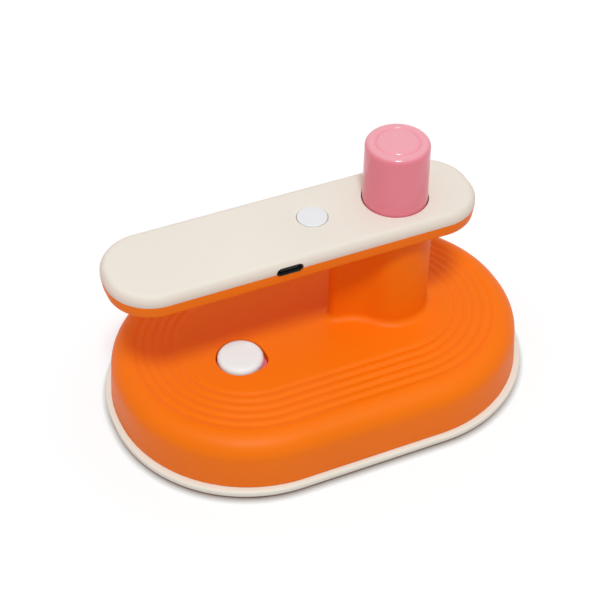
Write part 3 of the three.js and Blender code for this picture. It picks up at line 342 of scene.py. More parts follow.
class Skin:
    """The closed skin of one piece, put together from loops."""

    def __init__(self):
        self.points = []
        self.faces = []
        self.lifted = []

    def loop(self, points, lifted=0.0):
        first = len(self.points)
        self.points.extend(points)
        self.lifted.extend([lifted] * len(points))
        return list(range(first, len(self.points)))

    def join(self, loops):
        for first, second in zip(loops, loops[1:]):
            for i in range(len(first)):
                self.faces.append((first[i - 1], first[i], second[i], second[i - 1]))

    def tube(self, outlines, lifted=()):
        """Joins outlines one to the next. The crown lifts those whose number is in lifted."""
        loops = [self.loop(points, float(i in lifted)) for i, points in enumerate(outlines)]
        self.join(loops)
        return loops

    def ovals(self, outline, rings, lifted=(), **fineness):
        """A tube of ovals, one for each ring of (inset, height)."""
        shapes = [oval(**outline, inset=inset, height=height, **fineness) for inset, height in rings]
        return self.tube(shapes, lifted)

    def circles(self, rings, x=0.0, y=0.0, steps=48):
        """A tube of circles, one for each ring of (radius, height)."""
        return self.tube([circle(radius, height, x, y, steps) for radius, height in rings])

    def close(self, *loops):
        self.faces.extend(tuple(loop) for loop in loops)

    def patch(self, outer, holes=(), spacing=None, lifted=0.0):
        """Fills the plan between a loop and the loops of its holes, with inner points spacing apart."""
        outlines = [[(self.points[i].x, self.points[i].y) for i in loop] for loop in (outer, *holes)]
        owners = [i for loop in (outer, *holes) for i in loop]
        plan = [p for outline in outlines for p in outline]
        edges = []
        for outline in outlines:
            start = len(edges)
            edges.extend((start + i, start + (i + 1) % len(outline)) for i in range(len(outline)))
        height = self.points[outer[0]].z
        if spacing:
            xs, ys = zip(*outlines[0])
            for row in range(int((max(ys) - min(ys)) / spacing) + 1):
                for column in range(int((max(xs) - min(xs)) / spacing) + 1):
                    p = (min(xs) + (column + 0.5 * (row % 2)) * spacing, min(ys) + row * spacing)
                    if not inside(p, outlines[0]) or any(inside(p, hole) for hole in outlines[1:]):
                        continue
                    if any(near(p, outline, 0.6 * spacing) for outline in outlines):
                        continue
                    owners.extend(self.loop([Vector((*p, height))], lifted))
                    plan.append(p)
        flat = [Vector((px / MM, py / MM)) for px, py in plan]
        verts, _, faces, sources, _, _ = delaunay_2d_cdt(flat, edges, [], 1, 1e-6)
        for face in faces:
            middle = [sum(verts[i][axis] for i in face) / len(face) * MM for axis in (0, 1)]
            if not any(inside(middle, hole) for hole in outlines[1:]):
                self.faces.append(tuple(owners[sources[i][0]] for i in face))

    def ends(self, loops, first=(), last=()):
        """Closes a tube's two ends, each with its holes."""
        self.patch(loops[0], first)
        self.patch(loops[-1], last)

    def build(self, name):
        """The finished skin as an object, with its faces outwards."""
        mesh = bpy.data.meshes.new(name)
        mesh.from_pydata(self.points, [], self.faces)
        mesh.attributes.new("lifted", "FLOAT", "POINT").data.foreach_set("value", self.lifted)
        with_faces(mesh, lambda work: bmesh.ops.recalc_face_normals(work, faces=work.faces))
        return add_object(mesh)


def turned(name, profile, x=0.0, y=0.0, steps=64):
    """Turns a profile of (radius, height), whose ends are on the axis, about an upright axis."""
    skin = Skin()
    foot = skin.loop([Vector((x, y, profile[0][1]))])
    loops = [skin.loop(circle(radius, height, x, y, steps)) for radius, height in profile[1:-1]]
    tip = skin.loop([Vector((x, y, profile[-1][1]))])
    skin.join(loops)
    for point, rim in ((foot[0], loops[0]), (tip[0], loops[-1])):
        skin.faces.extend((point, rim[i - 1], rim[i]) for i in range(len(rim)))
    return skin.build(name)


def with_faces(mesh, change):
    """Changes a mesh by way of an edit mesh."""
    work = bmesh.new()
    work.from_mesh(mesh)
    change(work)
    work.to_mesh(mesh)
    work.free()


def shade(mesh, crease):
    """Smooth faces, with sharp edges where the surface turns by more than the crease angle."""

    def smooth(work):
        for face in work.faces:
            face.smooth = True
        for edge in work.edges:
            edge.smooth = not edge.is_manifold or edge.calc_face_angle(0.0) < crease

    with_faces(mesh, smooth)


def add_object(mesh):
    made = bpy.data.objects.new(mesh.name, mesh)
    bpy.context.scene.collection.objects.link(made)
    return made


def settle(made):
    """Turns an object's modifiers into its plain mesh."""
    bpy.context.view_layer.update()
    graph = bpy.context.evaluated_depsgraph_get()
    mesh = bpy.data.meshes.new_from_object(made.evaluated_get(graph), depsgraph=graph)
    mesh.name = made.name
    made.modifiers.clear()
    made.data = mesh
    return made


def cut_away(made, tool):
    """Takes a closed object out of another."""
    step = made.modifiers.new("Cut", "BOOLEAN")
    step.operation = "DIFFERENCE"
    step.solver = "EXACT"
    step.object = tool
    settle(made)
    bpy.data.objects.remove(tool)
    return made


FINISHES = {}


def piece(made, body, slot, *nodes, finish=None, crease=CREASE):
    """Gives a piece its slot's finish or the named one, and the place of its CAD nodes."""
    made.data.materials.clear()
    made.data.materials.append(FINISHES[finish or slot])
    shade(made.data, crease)
    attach(made, body)
    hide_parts(*nodes)


# ---- Nodes ----


def add(tree, kind, inputs, **settings):
    """A node with its settings and with its inputs, each of which is a socket or a value."""
    node = tree.nodes.new(kind)
    for label, value in settings.items():
        setattr(node, label, value)
    for label, value in inputs.items():
        if isinstance(value, NodeSocket):
            tree.links.new(value, node.inputs[label])
        else:
            node.inputs[label].default_value = value
    return node


def calculate(tree, operation, *values, clamp=False):
    """A Math node on sockets and numbers."""
    return add(tree, "ShaderNodeMath", dict(enumerate(values)), operation=operation, use_clamp=clamp).outputs[0]


def split(tree, vector):
    """A vector's three numbers, by the names of their axes."""
    return add(tree, "ShaderNodeSeparateXYZ", {0: vector}).outputs


def upright(tree, height):
    """A vector along Z."""
    return add(tree, "ShaderNodeCombineXYZ", {"Z": height}).outputs[0]


def node_tree(name, **inputs):
    """A Geometry Nodes tree with named inputs by their kind. Returns the tree and its inputs."""
    tree = bpy.data.node_groups.new(name, "GeometryNodeTree")
    tree.interface.new_socket("Geometry", in_out="OUTPUT", socket_type="NodeSocketGeometry")
    for kind, labels in {"Geometry": ["Geometry"], **inputs, "Material": ["Material"]}.items():
        for label in labels:
            tree.interface.new_socket(label, in_out="INPUT", socket_type="NodeSocket" + kind)
    return tree, tree.nodes.new("NodeGroupInput").outputs


def end_tree(tree, geometry, given):
    """Every tree ends in plain geometry with its material."""
    real = add(tree, "GeometryNodeRealizeInstances", {"Geometry": geometry})
    look = {"Geometry": real.outputs["Geometry"], "Material": given["Material"]}
    add(tree, "NodeGroupOutput", {"Geometry": add(tree, "GeometryNodeSetMaterial", look).outputs["Geometry"]})
    return tree


def grow(made, tree, values, sizes=None):
    """Puts a tree on an object, sets its named inputs from values or sizes, and keeps the plain mesh."""
    step = made.modifiers.new(tree.name, "NODES")
    step.node_group = tree
    for socket in tree.interface.items_tree:
        label = socket.name.lower().replace(" ", "_")
        if label != "geometry":
            step[socket.identifier] = values[label] if label in values else getattr(sizes, label)
    return settle(made)


def crown_tree():
    """Lifts the top by its crown and lets its ripples in, by how far a point lies in from the outline."""
    lengths = ("Half Length", "Half Width", "Corner Radius", "Crown Start", "Crown Rise")
    ripples = ("Ripple Inset", "Ripple Pitch", "Rear Pitch", "Ripple Depth")
    tree, size = node_tree("Crowned Top", Float=(*lengths, *ripples), Int=("Ripple Count",))
    solve = partial(calculate, tree)
    place = split(tree, tree.nodes.new("GeometryNodeInputPosition").outputs[0])

    def wave(turns):
        """From 0 to 1 and back over one turn."""
        return solve("MULTIPLY", solve("SUBTRACT", 1.0, solve("COSINE", turns)), 0.5)

    squares = []
    for axis, reach in (("X", "Half Length"), ("Y", "Half Width")):
        straight = solve("SUBTRACT", size[reach], size["Corner Radius"])
        beyond = solve("MAXIMUM", solve("SUBTRACT", solve("ABSOLUTE", place[axis]), straight), 0.0)
        squares.append(solve("MULTIPLY", beyond, beyond))
    inset = solve("SUBTRACT", size["Corner Radius"], solve("SQRT", solve("ADD", *squares)))
    reach = solve("SUBTRACT", size["Half Width"], size["Crown Start"])
    part = solve("DIVIDE", solve("SUBTRACT", inset, size["Crown Start"]), reach, clamp=True)
    rise = solve("MULTIPLY", wave(solve("MULTIPLY", part, math.pi)), size["Crown Rise"])
    rearward = solve("MULTIPLY_ADD", solve("DIVIDE", place["Y"], size["Half Width"]), 0.5, 0.5)
    narrower = solve("SUBTRACT", size["Rear Pitch"], size["Ripple Pitch"])
    pitch = solve("MULTIPLY_ADD", rearward, narrower, size["Ripple Pitch"])
    count = solve("DIVIDE", solve("SUBTRACT", inset, size["Ripple Inset"]), pitch)
    count = solve("MINIMUM", solve("MAXIMUM", count, 0.0), size["Ripple Count"])
    drop = solve("MULTIPLY", wave(solve("MULTIPLY", count, 2 * math.pi)), size["Ripple Depth"])
    lifted = add(tree, "GeometryNodeInputNamedAttribute", {"Name": "lifted"}, data_type="FLOAT")
    height = solve("MULTIPLY", solve("SUBTRACT", rise, drop), lifted.outputs["Attribute"])
    moved = {"Geometry": size["Geometry"], "Offset": upright(tree, height)}
    return end_tree(tree, add(tree, "GeometryNodeSetPosition", moved).outputs["Geometry"], size)


def fastener_tree():
    """Puts one small part on every point, each turned about its own axis by a seeded amount."""
    tree, given = node_tree("Small Parts", Object=("Part",), Float=("Turn",), Int=("Seed",))
    part = add(tree, "GeometryNodeObjectInfo", {"Object": given["Part"]})
    turn = add(tree, "FunctionNodeRandomValue", {3: given["Turn"], "Seed": given["Seed"]}, data_type="FLOAT")
    place = add(tree, "GeometryNodeInstanceOnPoints", {
        "Points": given["Geometry"],
        "Instance": part.outputs["Geometry"],
        "Rotation": upright(tree, turn.outputs[1]),
    })
    return end_tree(tree, place.outputs["Instances"], given)


def perforation_tree():
    """Takes a grid of round holes, widened at their mouths, out of the sole."""
    lengths = ("Hole Radius", "Hole Pitch", "Sole Thickness", "Face Height")
    tree, size = node_tree("Perforated Sole", Float=lengths, Int=("Hole Columns", "Hole Rows"))
    spread_out = {}
    for axis, count in (("X", size["Hole Columns"]), ("Y", size["Hole Rows"])):
        gaps = calculate(tree, "SUBTRACT", count, 1.0)
        spread_out["Size " + axis] = calculate(tree, "MULTIPLY", gaps, size["Hole Pitch"])
        spread_out["Vertices " + axis] = count
    grid = add(tree, "GeometryNodeMeshGrid", spread_out)
    depth = calculate(tree, "MULTIPLY", size["Sole Thickness"], 4.0)
    wide = calculate(tree, "MULTIPLY", size["Hole Radius"], 1.3)
    drill = {"Vertices": 24, "Radius": size["Hole Radius"], "Depth": depth}
    mouth = {"Vertices": 24, "Radius Top": 0.0, "Radius Bottom": wide, "Depth": wide}
    body = size["Geometry"]
    for kind, shape in (("Cylinder", drill), ("Cone", mouth)):
        tool = add(tree, "GeometryNodeMesh" + kind, shape).outputs["Mesh"]
        place = add(tree, "GeometryNodeInstanceOnPoints", {"Points": grid.outputs["Mesh"], "Instance": tool})
        real = add(tree, "GeometryNodeRealizeInstances", {"Geometry": place.outputs["Instances"]})
        shift = {"Geometry": real.outputs["Geometry"], "Translation": upright(tree, size["Face Height"])}
        cutter = add(tree, "GeometryNodeTransform", shift).outputs["Geometry"]
        cut = {"Mesh 1": body, "Mesh 2": cutter}
        body = add(tree, "GeometryNodeMeshBoolean", cut, operation="DIFFERENCE", solver="EXACT").outputs["Mesh"]
    return end_tree(tree, body, size)


# ---- Finishes ----


def blank_finish(name):
    material = bpy.data.materials.new(name)
    material.use_nodes = True
    return material, material.node_tree


def coordinates(tree, scale=(1.0, 1.0, 1.0)):
    place = tree.nodes.new("ShaderNodeTexCoord").outputs["Object"]
    return add(tree, "ShaderNodeMapping", {"Vector": place, "Scale": scale}).outputs["Vector"]


def noise(tree, vector, scale, detail=2.0, roughness=0.5):
    inputs = {"Vector": vector, "Scale": scale, "Detail": detail, "Roughness": roughness}
    return add(tree, "ShaderNodeTexNoise", inputs).outputs["Fac"]


def spread(tree, value, low, high, start=0.3, stop=0.7):
    """Maps a pattern's middle range to two numbers."""
    inputs = {"Value": value, "From Min": start, "From Max": stop, "To Min": low, "To Max": high}
    return add(tree, "ShaderNodeMapRange", inputs).outputs["Result"]


def blend(tree, factor, first, second):
    """A colour between two, by a factor socket. Each of the two is a colour or a socket."""
    first, second = (c if isinstance(c, NodeSocket) else (*c, 1.0) for c in (first, second))
    return add(tree, "ShaderNodeMix", {0: factor, 6: first, 7: second}, data_type="RGBA").outputs[2]


def mottled(tree, pattern, tint, low, high):
    """A tint that a pattern makes darker or paler by two factors."""
    ends = [tuple(min(channel * factor, 1.0) for channel in tint) for factor in (low, high)]
    return blend(tree, spread(tree, pattern, 0.0, 1.0), *ends)


def dress(material, tone, roughness, height, depth, **weights):
    """Gives a finish its colour, its roughness, a fine relief and its weights by the shader's own names."""
    tree = material.node_tree
    inputs = tree.nodes["Principled BSDF"].inputs
    bump = add(tree, "ShaderNodeBump", {"Strength": 1.0, "Distance": depth, "Height": height})
    for label, socket in (("Base Color", tone), ("Roughness", roughness), ("Normal", bump.outputs["Normal"])):
        tree.links.new(socket, inputs[label])
    for label, weight in weights.items():
        inputs[label.replace("_", " ")].default_value = weight
    return material


def moulded_plastic(name, tint, roughness, specular, grain=0.3, drift=0.03, painted_light=None):
    """Injection-moulded plastic: a slow drift of tone, a fine eroded grain and slightly uneven gloss.

    painted_light names a tone painted on by height, with the heights where it starts and where it is full:
    painted shade on the lid's round edge, a painted sheen on the knob's top.
    """
    material, tree = blank_finish(name)
    vector = coordinates(tree)
    slow = noise(tree, vector, 22.0, 3.0)
    tone = mottled(tree, slow, tint, 1.0 - drift, 1.0 + drift / 2)
    # painted light: the tone blends by height into a painted one, shade on the lid's edge and sheen on the
    # knob's top
    if painted_light:
        painted_tone, start, full = painted_light
        tone = blend(tree, spread(tree, split(tree, vector)["Z"], 0.0, 1.0, start, full), tone, painted_tone)
    gloss = spread(tree, slow, roughness * 0.92, roughness * 1.08)
    fine = noise(tree, vector, 1400.0, 2.0, 0.6)
    return dress(material, tone, gloss, fine, grain * 0.06 * MM, Specular_IOR_Level=specular)


def soft_rubber(name, tint, roughness):
    """Rubber or silicone: matt, dusty and finely pitted."""
    material, tree = blank_finish(name)
    vector = coordinates(tree)
    dust = noise(tree, vector, 160.0, 4.0)
    gloss = spread(tree, dust, roughness - 0.08, roughness + 0.08)
    pits = noise(tree, vector, 1900.0, 2.0)
    tone = mottled(tree, dust, tint, 0.92, 1.1)
    return dress(material, tone, gloss, pits, 0.03 * MM, Specular_IOR_Level=0.25)


def brushed_metal(name, tint, roughness, stretch=(30.0, 900.0, 900.0)):
    """Metal with fine lines along one way."""
    material, tree = blank_finish(name)
    lines = noise(tree, coordinates(tree, stretch), 1.0, 3.0, 0.6)
    cloud = noise(tree, coordinates(tree), 60.0, 3.0)
    gloss = spread(tree, lines, roughness - 0.08, roughness + 0.1)
    tone = mottled(tree, cloud, tint, 0.9, 1.04)
    return dress(material, tone, gloss, lines, 0.02 * MM, Metallic=1.0, Anisotropic=0.4)


def cast_metal(name, tint, roughness):
    """Die-cast metal with a dull, faintly pitted skin."""
    material, tree = blank_finish(name)
    vector = coordinates(tree)
    cloud = noise(tree, vector, 90.0, 4.0)
    pits = noise(tree, vector, 900.0, 3.0, 0.7)
    gloss = spread(tree, pits, roughness - 0.06, roughness + 0.1)
    return dress(material, mottled(tree, cloud, tint, 0.86, 1.03), gloss, pits, 0.04 * MM, Metallic=1.0)


def natural_plastic(name, tint):
    """Unfilled, milky see-through plastic."""
    material, tree = blank_finish(name)
    vector = coordinates(tree)
    flow = noise(tree, vector, 45.0, 3.0)
    look = (mottled(tree, flow, tint, 0.94, 1.0), spread(tree, flow, 0.22, 0.34), noise(tree, vector, 500.0))
    return dress(material, *look, 0.02 * MM, Transmission_Weight=0.45, IOR=1.49)


def printed_board(name, mask, copper):
    """Solder mask over square-cornered tracks."""
    material, tree = blank_finish(name)
    vector = coordinates(tree)
    black, white = (0.0, 0.0, 0.0, 1.0), (1.0, 1.0, 1.0, 1.0)
    bricks = {"Vector": vector, "Scale": 160.0, "Color1": black, "Color2": black}
    tracks = add(tree, "ShaderNodeTexBrick", {**bricks, "Mortar Size": 0.09, "Mortar": white}).outputs["Color"]
    gloss = spread(tree, noise(tree, vector, 120.0), 0.25, 0.4)
    return dress(material, blend(tree, tracks, mask, copper), gloss, tracks, 0.03 * MM)


def cell_sleeve(name, tint, ring, half=22.6 * MM):
    """Shrunk sleeve with a paler band at each end, from half its length outwards."""
    material, tree = blank_finish(name)
    vector = coordinates(tree)
    end = calculate(tree, "GREATER_THAN", calculate(tree, "ABSOLUTE", split(tree, vector)["X"]), half)
    folds = noise(tree, vector, 240.0, 2.0)
    return dress(material, blend(tree, end, tint, ring), spread(tree, folds, 0.24, 0.36), folds, 0.05 * MM)


def make_finishes(tints):
    # painted shade on the lid: darker from just under its top down its round edge
    lid_painted_shade = (tints.rubbed_cream, LID_TOP - 0.05 * MM, LID_TOP - 0.8 * MM)
    # painted sheen on the knob: paler towards its top
    knob_painted_sheen = (tints.rubbed_pink, KNOB_HIGH.z - 0.9 * MM, KNOB_HIGH.z - 0.15 * MM)
    smooth = {"grain": 0.15, "drift": 0.015}
    FINISHES.update({
        "orange_plastic": moulded_plastic("Orange Plastic", tints.orange, 0.46, 0.16),
        "cream_plastic": moulded_plastic("Cream Plastic", tints.cream, 0.44, 0.2, drift=0.02),
        "lid_plastic": moulded_plastic("Lid Plastic", tints.cream, 0.44, 0.2, drift=0.02, painted_light=lid_painted_shade),
        "pink_plastic": moulded_plastic("Pink Plastic", tints.pink, 0.185, 0.5, grain=0.08, painted_light=knob_painted_sheen),
        "white_plastic": moulded_plastic("White Plastic", tints.white, 0.38, 0.3, **smooth),
        "button_plastic": moulded_plastic("Button Plastic", tints.cool_white, 0.4, 0.3, **smooth),
        "black_plastic": moulded_plastic("Black Plastic", tints.black, 0.42, 0.4),
        "pink_silicone": soft_rubber("Pink Silicone", tints.silicone, 0.6),
        "dark_rubber": soft_rubber("Dark Rubber", tints.rubber, 0.85),
        "plate_aluminium": brushed_metal("Brushed Aluminium", tints.aluminium, 0.36),
        "cast_aluminium": cast_metal("Cast Aluminium", tints.aluminium, 0.45),
        "steel": brushed_metal("Steel", tints.steel, 0.28, (500.0, 500.0, 80.0)),
        "clear_plastic": natural_plastic("Natural Plastic", tints.clear),
        "circuit_board": printed_board("Printed Board", tints.board, tints.copper),
        "cell_wrap": cell_sleeve("Cell Sleeve", tints.wrap, tints.white),
    })


# ---- Pieces ----


def plan(low, high, corner):
    """The oval that fills the plan of a box."""
    return {
        "half_length": (high.x - low.x) / 2,
        "half_width": (high.y - low.y) / 2,
        "corner": corner,
        "x": (low.x + high.x) / 2,
        "y": (low.y + high.y) / 2,
    }


def sole_outline(sizes):
    return {
        "half_length": sizes.sole_half_length,
        "half_width": sizes.sole_half_width,
        "corner": sizes.sole_corner,
    }


def keyhole(sizes, swell, height):
    """The column's outline: a round with a thinner web on its -X side, between hollow flanks."""
    to_tip = sizes.web_tip + sizes.web_flank
    to_round = sizes.column_radius + sizes.web_flank
    along = (to_tip**2 - to_round**2 + sizes.web_length**2) / (2 * sizes.web_length)
    tip_x = sizes.column_x - sizes.web_length
    flank = Vector((tip_x + along, math.sqrt(to_tip**2 - along**2)))
    on_round = math.atan2(flank.y, flank.x - sizes.column_x)
    on_tip = math.atan2(flank.y, flank.x - tip_x)
    arcs = (
        (sizes.column_x, 0.0, sizes.column_radius + swell, -on_round, on_round, 56),
        (flank.x, flank.y, sizes.web_flank - swell, on_round - math.pi, on_tip - math.pi, 14),
        (tip_x, 0.0, sizes.web_tip + swell, on_tip, 2 * math.pi - on_tip, 18),
        (flank.x, -flank.y, sizes.web_flank - swell, math.pi - on_tip, math.pi - on_round, 14),
    )
    return [point for part in arcs for point in arc(*part, height)]


def well_loop(filler, grow, height, steps=72):
    """The filler well's outline: a circle with a notch for a finger nail."""
    relief = filler.nail_relief
    loop = []
    for i in range(steps):
        turn = 2 * math.pi * i / steps
        off = math.remainder(turn + filler.notch_way, 2 * math.pi) / filler.notch_reach
        notch = math.cos(off * math.pi / 2) ** 2 if abs(off) < 1 else 0.0
        reach = relief * math.cos(turn) + math.sqrt(filler.well_radius**2 - (relief * math.sin(turn)) ** 2)
        radius = filler.well_radius + notch * (reach - filler.well_radius) + grow
        x, y = PLUG_AXIS.x + radius * math.cos(turn), PLUG_AXIS.y + radius * math.sin(turn)
        loop.append(Vector((x, y, height)))
    return loop


def make_housing(sizes, filler):
    skin = Skin()
    foot, top = BASE_LOW.z, sizes.edge_height
    ceiling = top - sizes.roof
    rings = upper_edge(sizes.edge_radius - sizes.wall, ceiling, 8, sizes.draft + sizes.wall)[::-1]
    rings += [(sizes.wall, foot), *lower_edge(SMALL, foot, 3)]
    rings += upper_edge(sizes.edge_radius, top, 16, sizes.draft)
    still = len(rings) - 1
    rings.append(((sizes.draft + sizes.edge_radius + sizes.ripple_inset) / 2, top))
    steps = sizes.ripple_count * 12
    rippled = sizes.ripple_pitch * sizes.ripple_count
    rings += [(sizes.ripple_inset + rippled * i / steps, top) for i in range(steps + 1)]
    outline = plan(BASE_LOW, BASE_HIGH, sizes.corner_radius)
    loops = skin.ovals(outline, rings, range(still, len(rings)))

    edge = round_edge(sizes.column_foot, 10)
    column = [keyhole(sizes, sizes.column_foot - rise, top + inset) for inset, rise in edge]
    column = skin.tube([*column, keyhole(sizes, 0.0, sizes.column_top)], range(len(edge)))
    step = sizes.column_top - 0.9 * MM
    neck = [(sizes.neck_radius, sizes.column_top), (sizes.neck_radius, BASE_HIGH.z - SMALL)]
    neck += [(sizes.neck_radius - SMALL, BASE_HIGH.z), (sizes.neck_bore, BASE_HIGH.z)]
    neck += [(sizes.neck_bore, step), (sizes.bore, step), (sizes.bore, ceiling)]
    neck = skin.circles(neck, sizes.column_x, steps=72)
    skin.patch(column[-1], [neck[0]])

    edge = round_edge(filler.well_rim, 5)
    well = [well_loop(filler, filler.well_rim - rise, top - inset) for inset, rise in edge]
    well = skin.tube([*well, well_loop(filler, 0.0, filler.ledge)], range(len(edge)))
    bore = skin.circles([(filler.bore, filler.ledge), (filler.bore, filler.cup_foot)], *PLUG_AXIS)
    skin.patch(well[-1], [bore[0]])
    cup = skin.tube([well_loop(filler, filler.cup_wall, height) for height in (filler.cup_foot, ceiling)])
    skin.patch(cup[0], [bore[1]])

    skin.patch(loops[-1], [column[0], well[0]], spacing=2.0 * MM, lifted=1.0)
    skin.patch(loops[0], [neck[-1], cup[1]])
    return skin.build("housing")


def screw_holes(skin, sizes, screws, low, high):
    """Recesses and shank holes of screws. Returns the loops in the lower and those in the upper face."""
    head, shank = sizes.screw_head + SMALL, sizes.screw_shank + SMALL
    floor = low + sizes.screw_sink
    rings = [(head, low), (head, floor), (shank, floor), (shank, high)]
    holes = [skin.circles(rings, x, y, 28) for x, y in middles(*screws)]
    return [hole[0] for hole in holes], [hole[-1] for hole in holes]


def make_rim(sizes):
    skin = Skin()
    low, high = sizes.rim_foot, sizes.rim_top
    rings = lower_edge(sizes.rim_edge, low, 6) + upper_edge(sizes.rim_edge, high, 6)
    loops = skin.ovals(plan(RIM_LOW, RIM_HIGH, sizes.rim_corner), rings, steps=32)
    opening = skin.ovals(sole_outline(sizes), [(-SMALL, low), (-SMALL, high)], steps=16)
    below, above = screw_holes(skin, sizes, COVER_SCREWS, low, high)
    skin.ends(loops, [opening[0], *below], [opening[1], *above])
    return skin.build("rim")


def grip_ovals(skin, grip, rings):
    outline = plan(TRAY_LOW, TRAY_HIGH, (TRAY_HIGH.y - TRAY_LOW.y) / 2 - grip.end_flat)
    return skin.ovals(outline, rings, steps=26, straight=28)


def slot_loop(reach, radius, x, y, z, steps=12):
    """A slot's outline that faces along Y."""
    turns = [(side, math.pi * (i / steps - side / 2)) for side in (1, -1) for i in range(steps + 1)]
    return [Vector((x + side * reach + radius * math.cos(a), y, z + radius * math.sin(a))) for side, a in turns]


def port_cutter(sizes):
    """A slot with round ends through the grip's front wall."""
    radius = sizes.port_height / 2
    middle = (INLET_LOW.x + INLET_HIGH.x) / 2
    size = (sizes.port_width / 2 - radius, radius, middle)
    skin = Skin()
    ends = (TRAY_LOW.y - 2 * MM, TRAY_LOW.y + 4 * MM)
    skin.close(*skin.tube([slot_loop(*size, y, sizes.port_centre) for y in ends]))
    return skin.build("port_cutter")


def make_grip_tray(grip, pump_x, under):
    skin = Skin()
    low, top = TRAY_LOW.z, TRAY_HIGH.z
    floor = low + grip.floor
    rings = [(grip.wall, floor), (grip.wall, top), *upper_edge(grip.parting_edge, top, 3)[::-1]]
    rings += lower_edge(grip.tray_edge, low, 10, grip.draft)[::-1]
    loops = grip_ovals(skin, grip, rings)
    neck = skin.circles([(grip.neck_hole, low), (grip.neck_hole, floor)], pump_x, steps=72)
    below, above = screw_holes(skin, under, GRIP_SCREWS, low, floor)
    skin.ends(loops, [neck[1], *above], [neck[0], *below])
    return skin.build("grip_tray")


def make_grip_lid(grip, pump_x):
    skin = Skin()
    foot = TRAY_HIGH.z + 0.1 * MM
    ceiling = LID_TOP - grip.roof
    rings = [(grip.wall, ceiling), (grip.wall, foot), *lower_edge(grip.parting_edge, foot, 3)]
    loops = grip_ovals(skin, grip, rings + upper_edge(grip.lid_edge, LID_TOP, 14))
    holes = []
    for axis, radius in (((pump_x, 0.0), grip.pump_hole), (BUTTON_AXIS, grip.button_hole)):
        edge = round_edge(grip.hole_edge, 4)
        mouth = [(radius + grip.hole_edge - rise, LID_TOP - inset) for inset, rise in edge]
        holes.append(skin.circles([*mouth, (radius, ceiling)], *axis, 72))
    skin.ends(loops, [hole[-1] for hole in holes], [hole[0] for hole in holes])
    return skin.build("grip_lid")


def groove(across, bend):
    """Depth of a groove from its edge, 0, to its middle, 1: a slope between two equal rounds."""
    if across > 1 - bend:
        return 1 - groove(1 - across, bend)
    return across**2 / (2 * bend * (1 - bend)) if across <= bend else (across - bend / 2) / (1 - bend)


def make_knob(sizes):
    foot, top = KNOB_LOW.z, KNOB_HIGH.z
    inner = sizes.top_radius - sizes.wall
    ceiling = top - sizes.top_thickness
    flange_top = foot + sizes.flange_height
    profile = [(0.0, ceiling), (inner, ceiling), (inner, foot), (sizes.flange_radius, foot)]
    profile += [(sizes.flange_radius, flange_top), (sizes.radius, flange_top), (sizes.radius, LID_TOP)]
    profile += [(sizes.top_radius - inset, height) for inset, height in upper_edge(sizes.edge_radius, top, 16)]
    width = sizes.ring_outer - sizes.ring_inner
    steps = 16
    for i in range(steps + 1):
        depth = sizes.ring_depth * groove(1 - abs(2 * i / steps - 1), sizes.ring_bend)
        profile.append((sizes.ring_outer - width * i / steps, top - depth))
    profile += [(3.0 * MM, top), (0.0, top)]
    return turned("pump_cap", profile, *KNOB_AXIS, 96)


def domed(radius, top, dome, steps=6):
    """Profile of a faintly domed face, from its edge to its middle."""
    return [(radius * (1 - i / steps), top - dome * (1 - i / steps) ** 2) for i in range(1, steps + 1)]


def make_plug(sizes):
    foot, top = PLUG_LOW.z, PLUG_HIGH.z
    lead, dome = 1 * MM, 0.15 * MM
    head_foot = top - 3.2 * MM
    profile = [(0.0, foot), (sizes.stem_radius - lead, foot)]
    profile += [(sizes.stem_radius, foot + lead), (sizes.stem_radius, head_foot)]
    profile += [(sizes.plug_radius - SMALL, head_foot), (sizes.plug_radius, head_foot + SMALL)]
    edge = upper_edge(sizes.plug_edge, top - dome, 8)
    profile += [(sizes.plug_radius - inset, height) for inset, height in edge]
    profile += domed(sizes.plug_radius - sizes.plug_edge, top, dome)
    return turned("filler_disc", profile, *PLUG_AXIS, 72)


def make_seal(filler):
    skin = Skin()
    low, high = SEAL_LOW.z, SEAL_HIGH.z
    grow = (SEAL_HIGH.y - SEAL_LOW.y) / 2 - filler.well_radius
    rings = [(0.0, low), *upper_edge(0.4 * MM, high, 4)]
    loops = skin.tube([well_loop(filler, grow - inset, height) for inset, height in rings])
    bore = skin.circles([(filler.bore, low), (filler.bore, high)], *PLUG_AXIS)
    skin.ends(loops, bore[:1], bore[1:])
    return skin.build("well_seal")


def make_button():
    low, top = BUTTON_LOW.z, BUTTON_HIGH.z
    radius, pin, edge, dome = 5.45 * MM, 1.6 * MM, 0.4 * MM, 0.12 * MM
    flange = (BUTTON_HIGH.x - BUTTON_LOW.x) / 2
    flange_foot, flange_top = low + 0.4 * MM, low + 1.1 * MM
    profile = [(0.0, low), (pin, low), (pin, flange_foot), (flange, flange_foot)]
    profile += [(flange, flange_top), (radius, flange_top)]
    profile += [(radius - inset, height - dome) for inset, height in upper_edge(edge, top, 6)]
    profile += domed(radius - edge, top, dome)
    return turned("power_key", profile, *BUTTON_AXIS)


def make_inlet():
    skin = Skin()
    middle = (INLET_LOW + INLET_HIGH) / 2
    radius = (INLET_HIGH.z - INLET_LOW.z) / 2
    reach = (INLET_HIGH.x - INLET_LOW.x) / 2 - radius
    front, back = INLET_LOW.y, INLET_HIGH.y
    wall, edge, lead, half = 0.4 * MM, 0.08 * MM, 0.15 * MM, 0.36 * MM
    rings = [(0.0, back), (0.0, front + lead), (edge, front), (wall - edge, front)]
    rings += [(wall, front + lead), (wall, back - 1 * MM)]
    lining = skin.tube([slot_loop(reach, radius - inset, middle.x, y, middle.z) for inset, y in rings])
    rings = ((half, back - 0.8 * MM), (half, front + 1.0 * MM), (0.7 * half, front + 0.8 * MM))
    tongue = skin.tube([slot_loop(reach - 0.1 * MM, size, middle.x, y, middle.z, 6) for size, y in rings])
    skin.close(lining[0], lining[-1], tongue[0], tongue[-1])
    return skin.build("charge_inlet")


